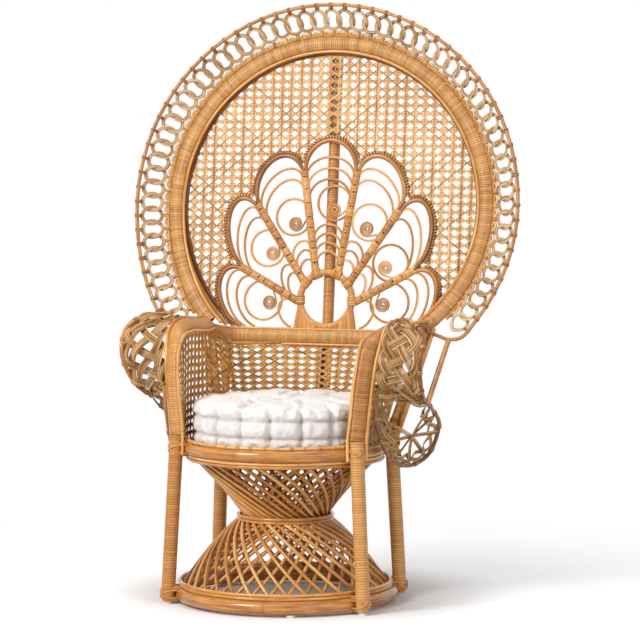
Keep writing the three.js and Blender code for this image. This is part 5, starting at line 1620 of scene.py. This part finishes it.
on_side = np.clip((reach - SIDE_START) / SIDE_SPAN, 0, 1) * np.clip((height - FOOT) / FOOT_SPAN, 0, 1)
on_top = np.clip((height - TOP_START) / TOP_SPAN, 0, 1)
draw_in = dent(from_tuck, TUCK_WIDTH, TUCK_DEPTH)
for level in SEAM_LEVELS:
    draw_in = draw_in + dent(height - level, SEAM_WIDTH, SEAM_DEPTH)
moved = -slack / np.maximum(reach, 1)[:, None] * (draw_in * on_side)[:, None]
moved[:, 2] = -dent(from_fold, TUCK_WIDTH, TUCK_DEPTH) * on_top
places = (slack + moved) * MM + (0, AXIS_Y, 0)
cushion.data.vertices.foreach_set("co", places.ravel())
cushion.data.update()
print(f"cushion drawn in by up to {np.linalg.norm(moved, axis=1).max():.1f} mm")

# %% Shade and hold the seams
TUCK_SHADE, SEAM_SHADE, FOLD_SHADE = (3.4, 1.0), (2.6, 0.8), (4.0, 0.4)
TUCK_TOP, SIDE_REACH, SEAM_REACH = 478, 200, 3.2
# Painted shade: darker along the tucks and seams of the side and along the folds of the top, where shade
# falls in the creases.
crease_shade_mask = dent(from_tuck, *TUCK_SHADE) * (height < TUCK_TOP) + dent(from_seam, *SEAM_SHADE)
crease_shade_mask = np.clip(crease_shade_mask, 0, 1) * on_side + dent(from_fold, *FOLD_SHADE) * on_top
cushion.data.attributes.new("seam", "FLOAT", "POINT").data.foreach_set("value", crease_shade_mask)
sewn = (from_seam < SEAM_REACH) | (from_tuck < SEAM_REACH)
held = (sewn & (reach > SIDE_REACH)) | ((from_fold < SEAM_REACH) & (on_top > 0)) | (height < FOOT)
group = cushion.vertex_groups.new(name="seams")
group.add([int(i) for i in np.flatnonzero(held)], 1.0, "REPLACE")
print(f"cushion: {held.sum()} points on seams")

# %% Blow up the cover between its held seams
PRESSURE = 5.0
CLOTH_MASS, STIFFNESS, BENDING, SLACKNESS = 0.2, 8, 0.4, 0.06
CLOTH_QUALITY, CLOTH_STEPS = 5, 20
MOST_MOVE = 0.010
cloth = cushion.modifiers.new("filling", "CLOTH")
cloth.settings.quality = CLOTH_QUALITY
cloth.settings.mass = CLOTH_MASS
cloth.settings.tension_stiffness = STIFFNESS
cloth.settings.compression_stiffness = STIFFNESS
cloth.settings.bending_stiffness = BENDING
cloth.settings.use_pressure = True
cloth.settings.uniform_pressure_force = PRESSURE
cloth.settings.vertex_group_mass = "seams"
cloth.settings.shrink_min = -SLACKNESS
cloth.settings.effector_weights.gravity = 0
for step in range(1, CLOTH_STEPS + 1):
    bpy.context.scene.frame_set(step)
shape = baked_shape(cushion)
moved = np.array([vert.co for vert in shape.vertices]) - places
size = np.linalg.norm(moved, axis=1, keepdims=True)
places = places + moved * np.minimum(1, MOST_MOVE / np.maximum(size, 1e-9))
cushion.modifiers.clear()
bpy.context.scene.frame_set(1)
cushion.data.vertices.foreach_set("co", places.ravel())
print(f"cushion swelled by up to {size.max() / MM:.1f} mm")
cushion.vertex_groups.clear()
cushion.data.polygons.foreach_set("use_smooth", [True] * len(cushion.data.polygons))
smooth = cushion.modifiers.new("rounded", "SUBSURF")
smooth.levels = smooth.render_levels = 1

# %% [markdown]
# ## Finish
# The dressed chair has to stay within the solids' box, apart from a little fabric.

# %% Finish
print("finished")
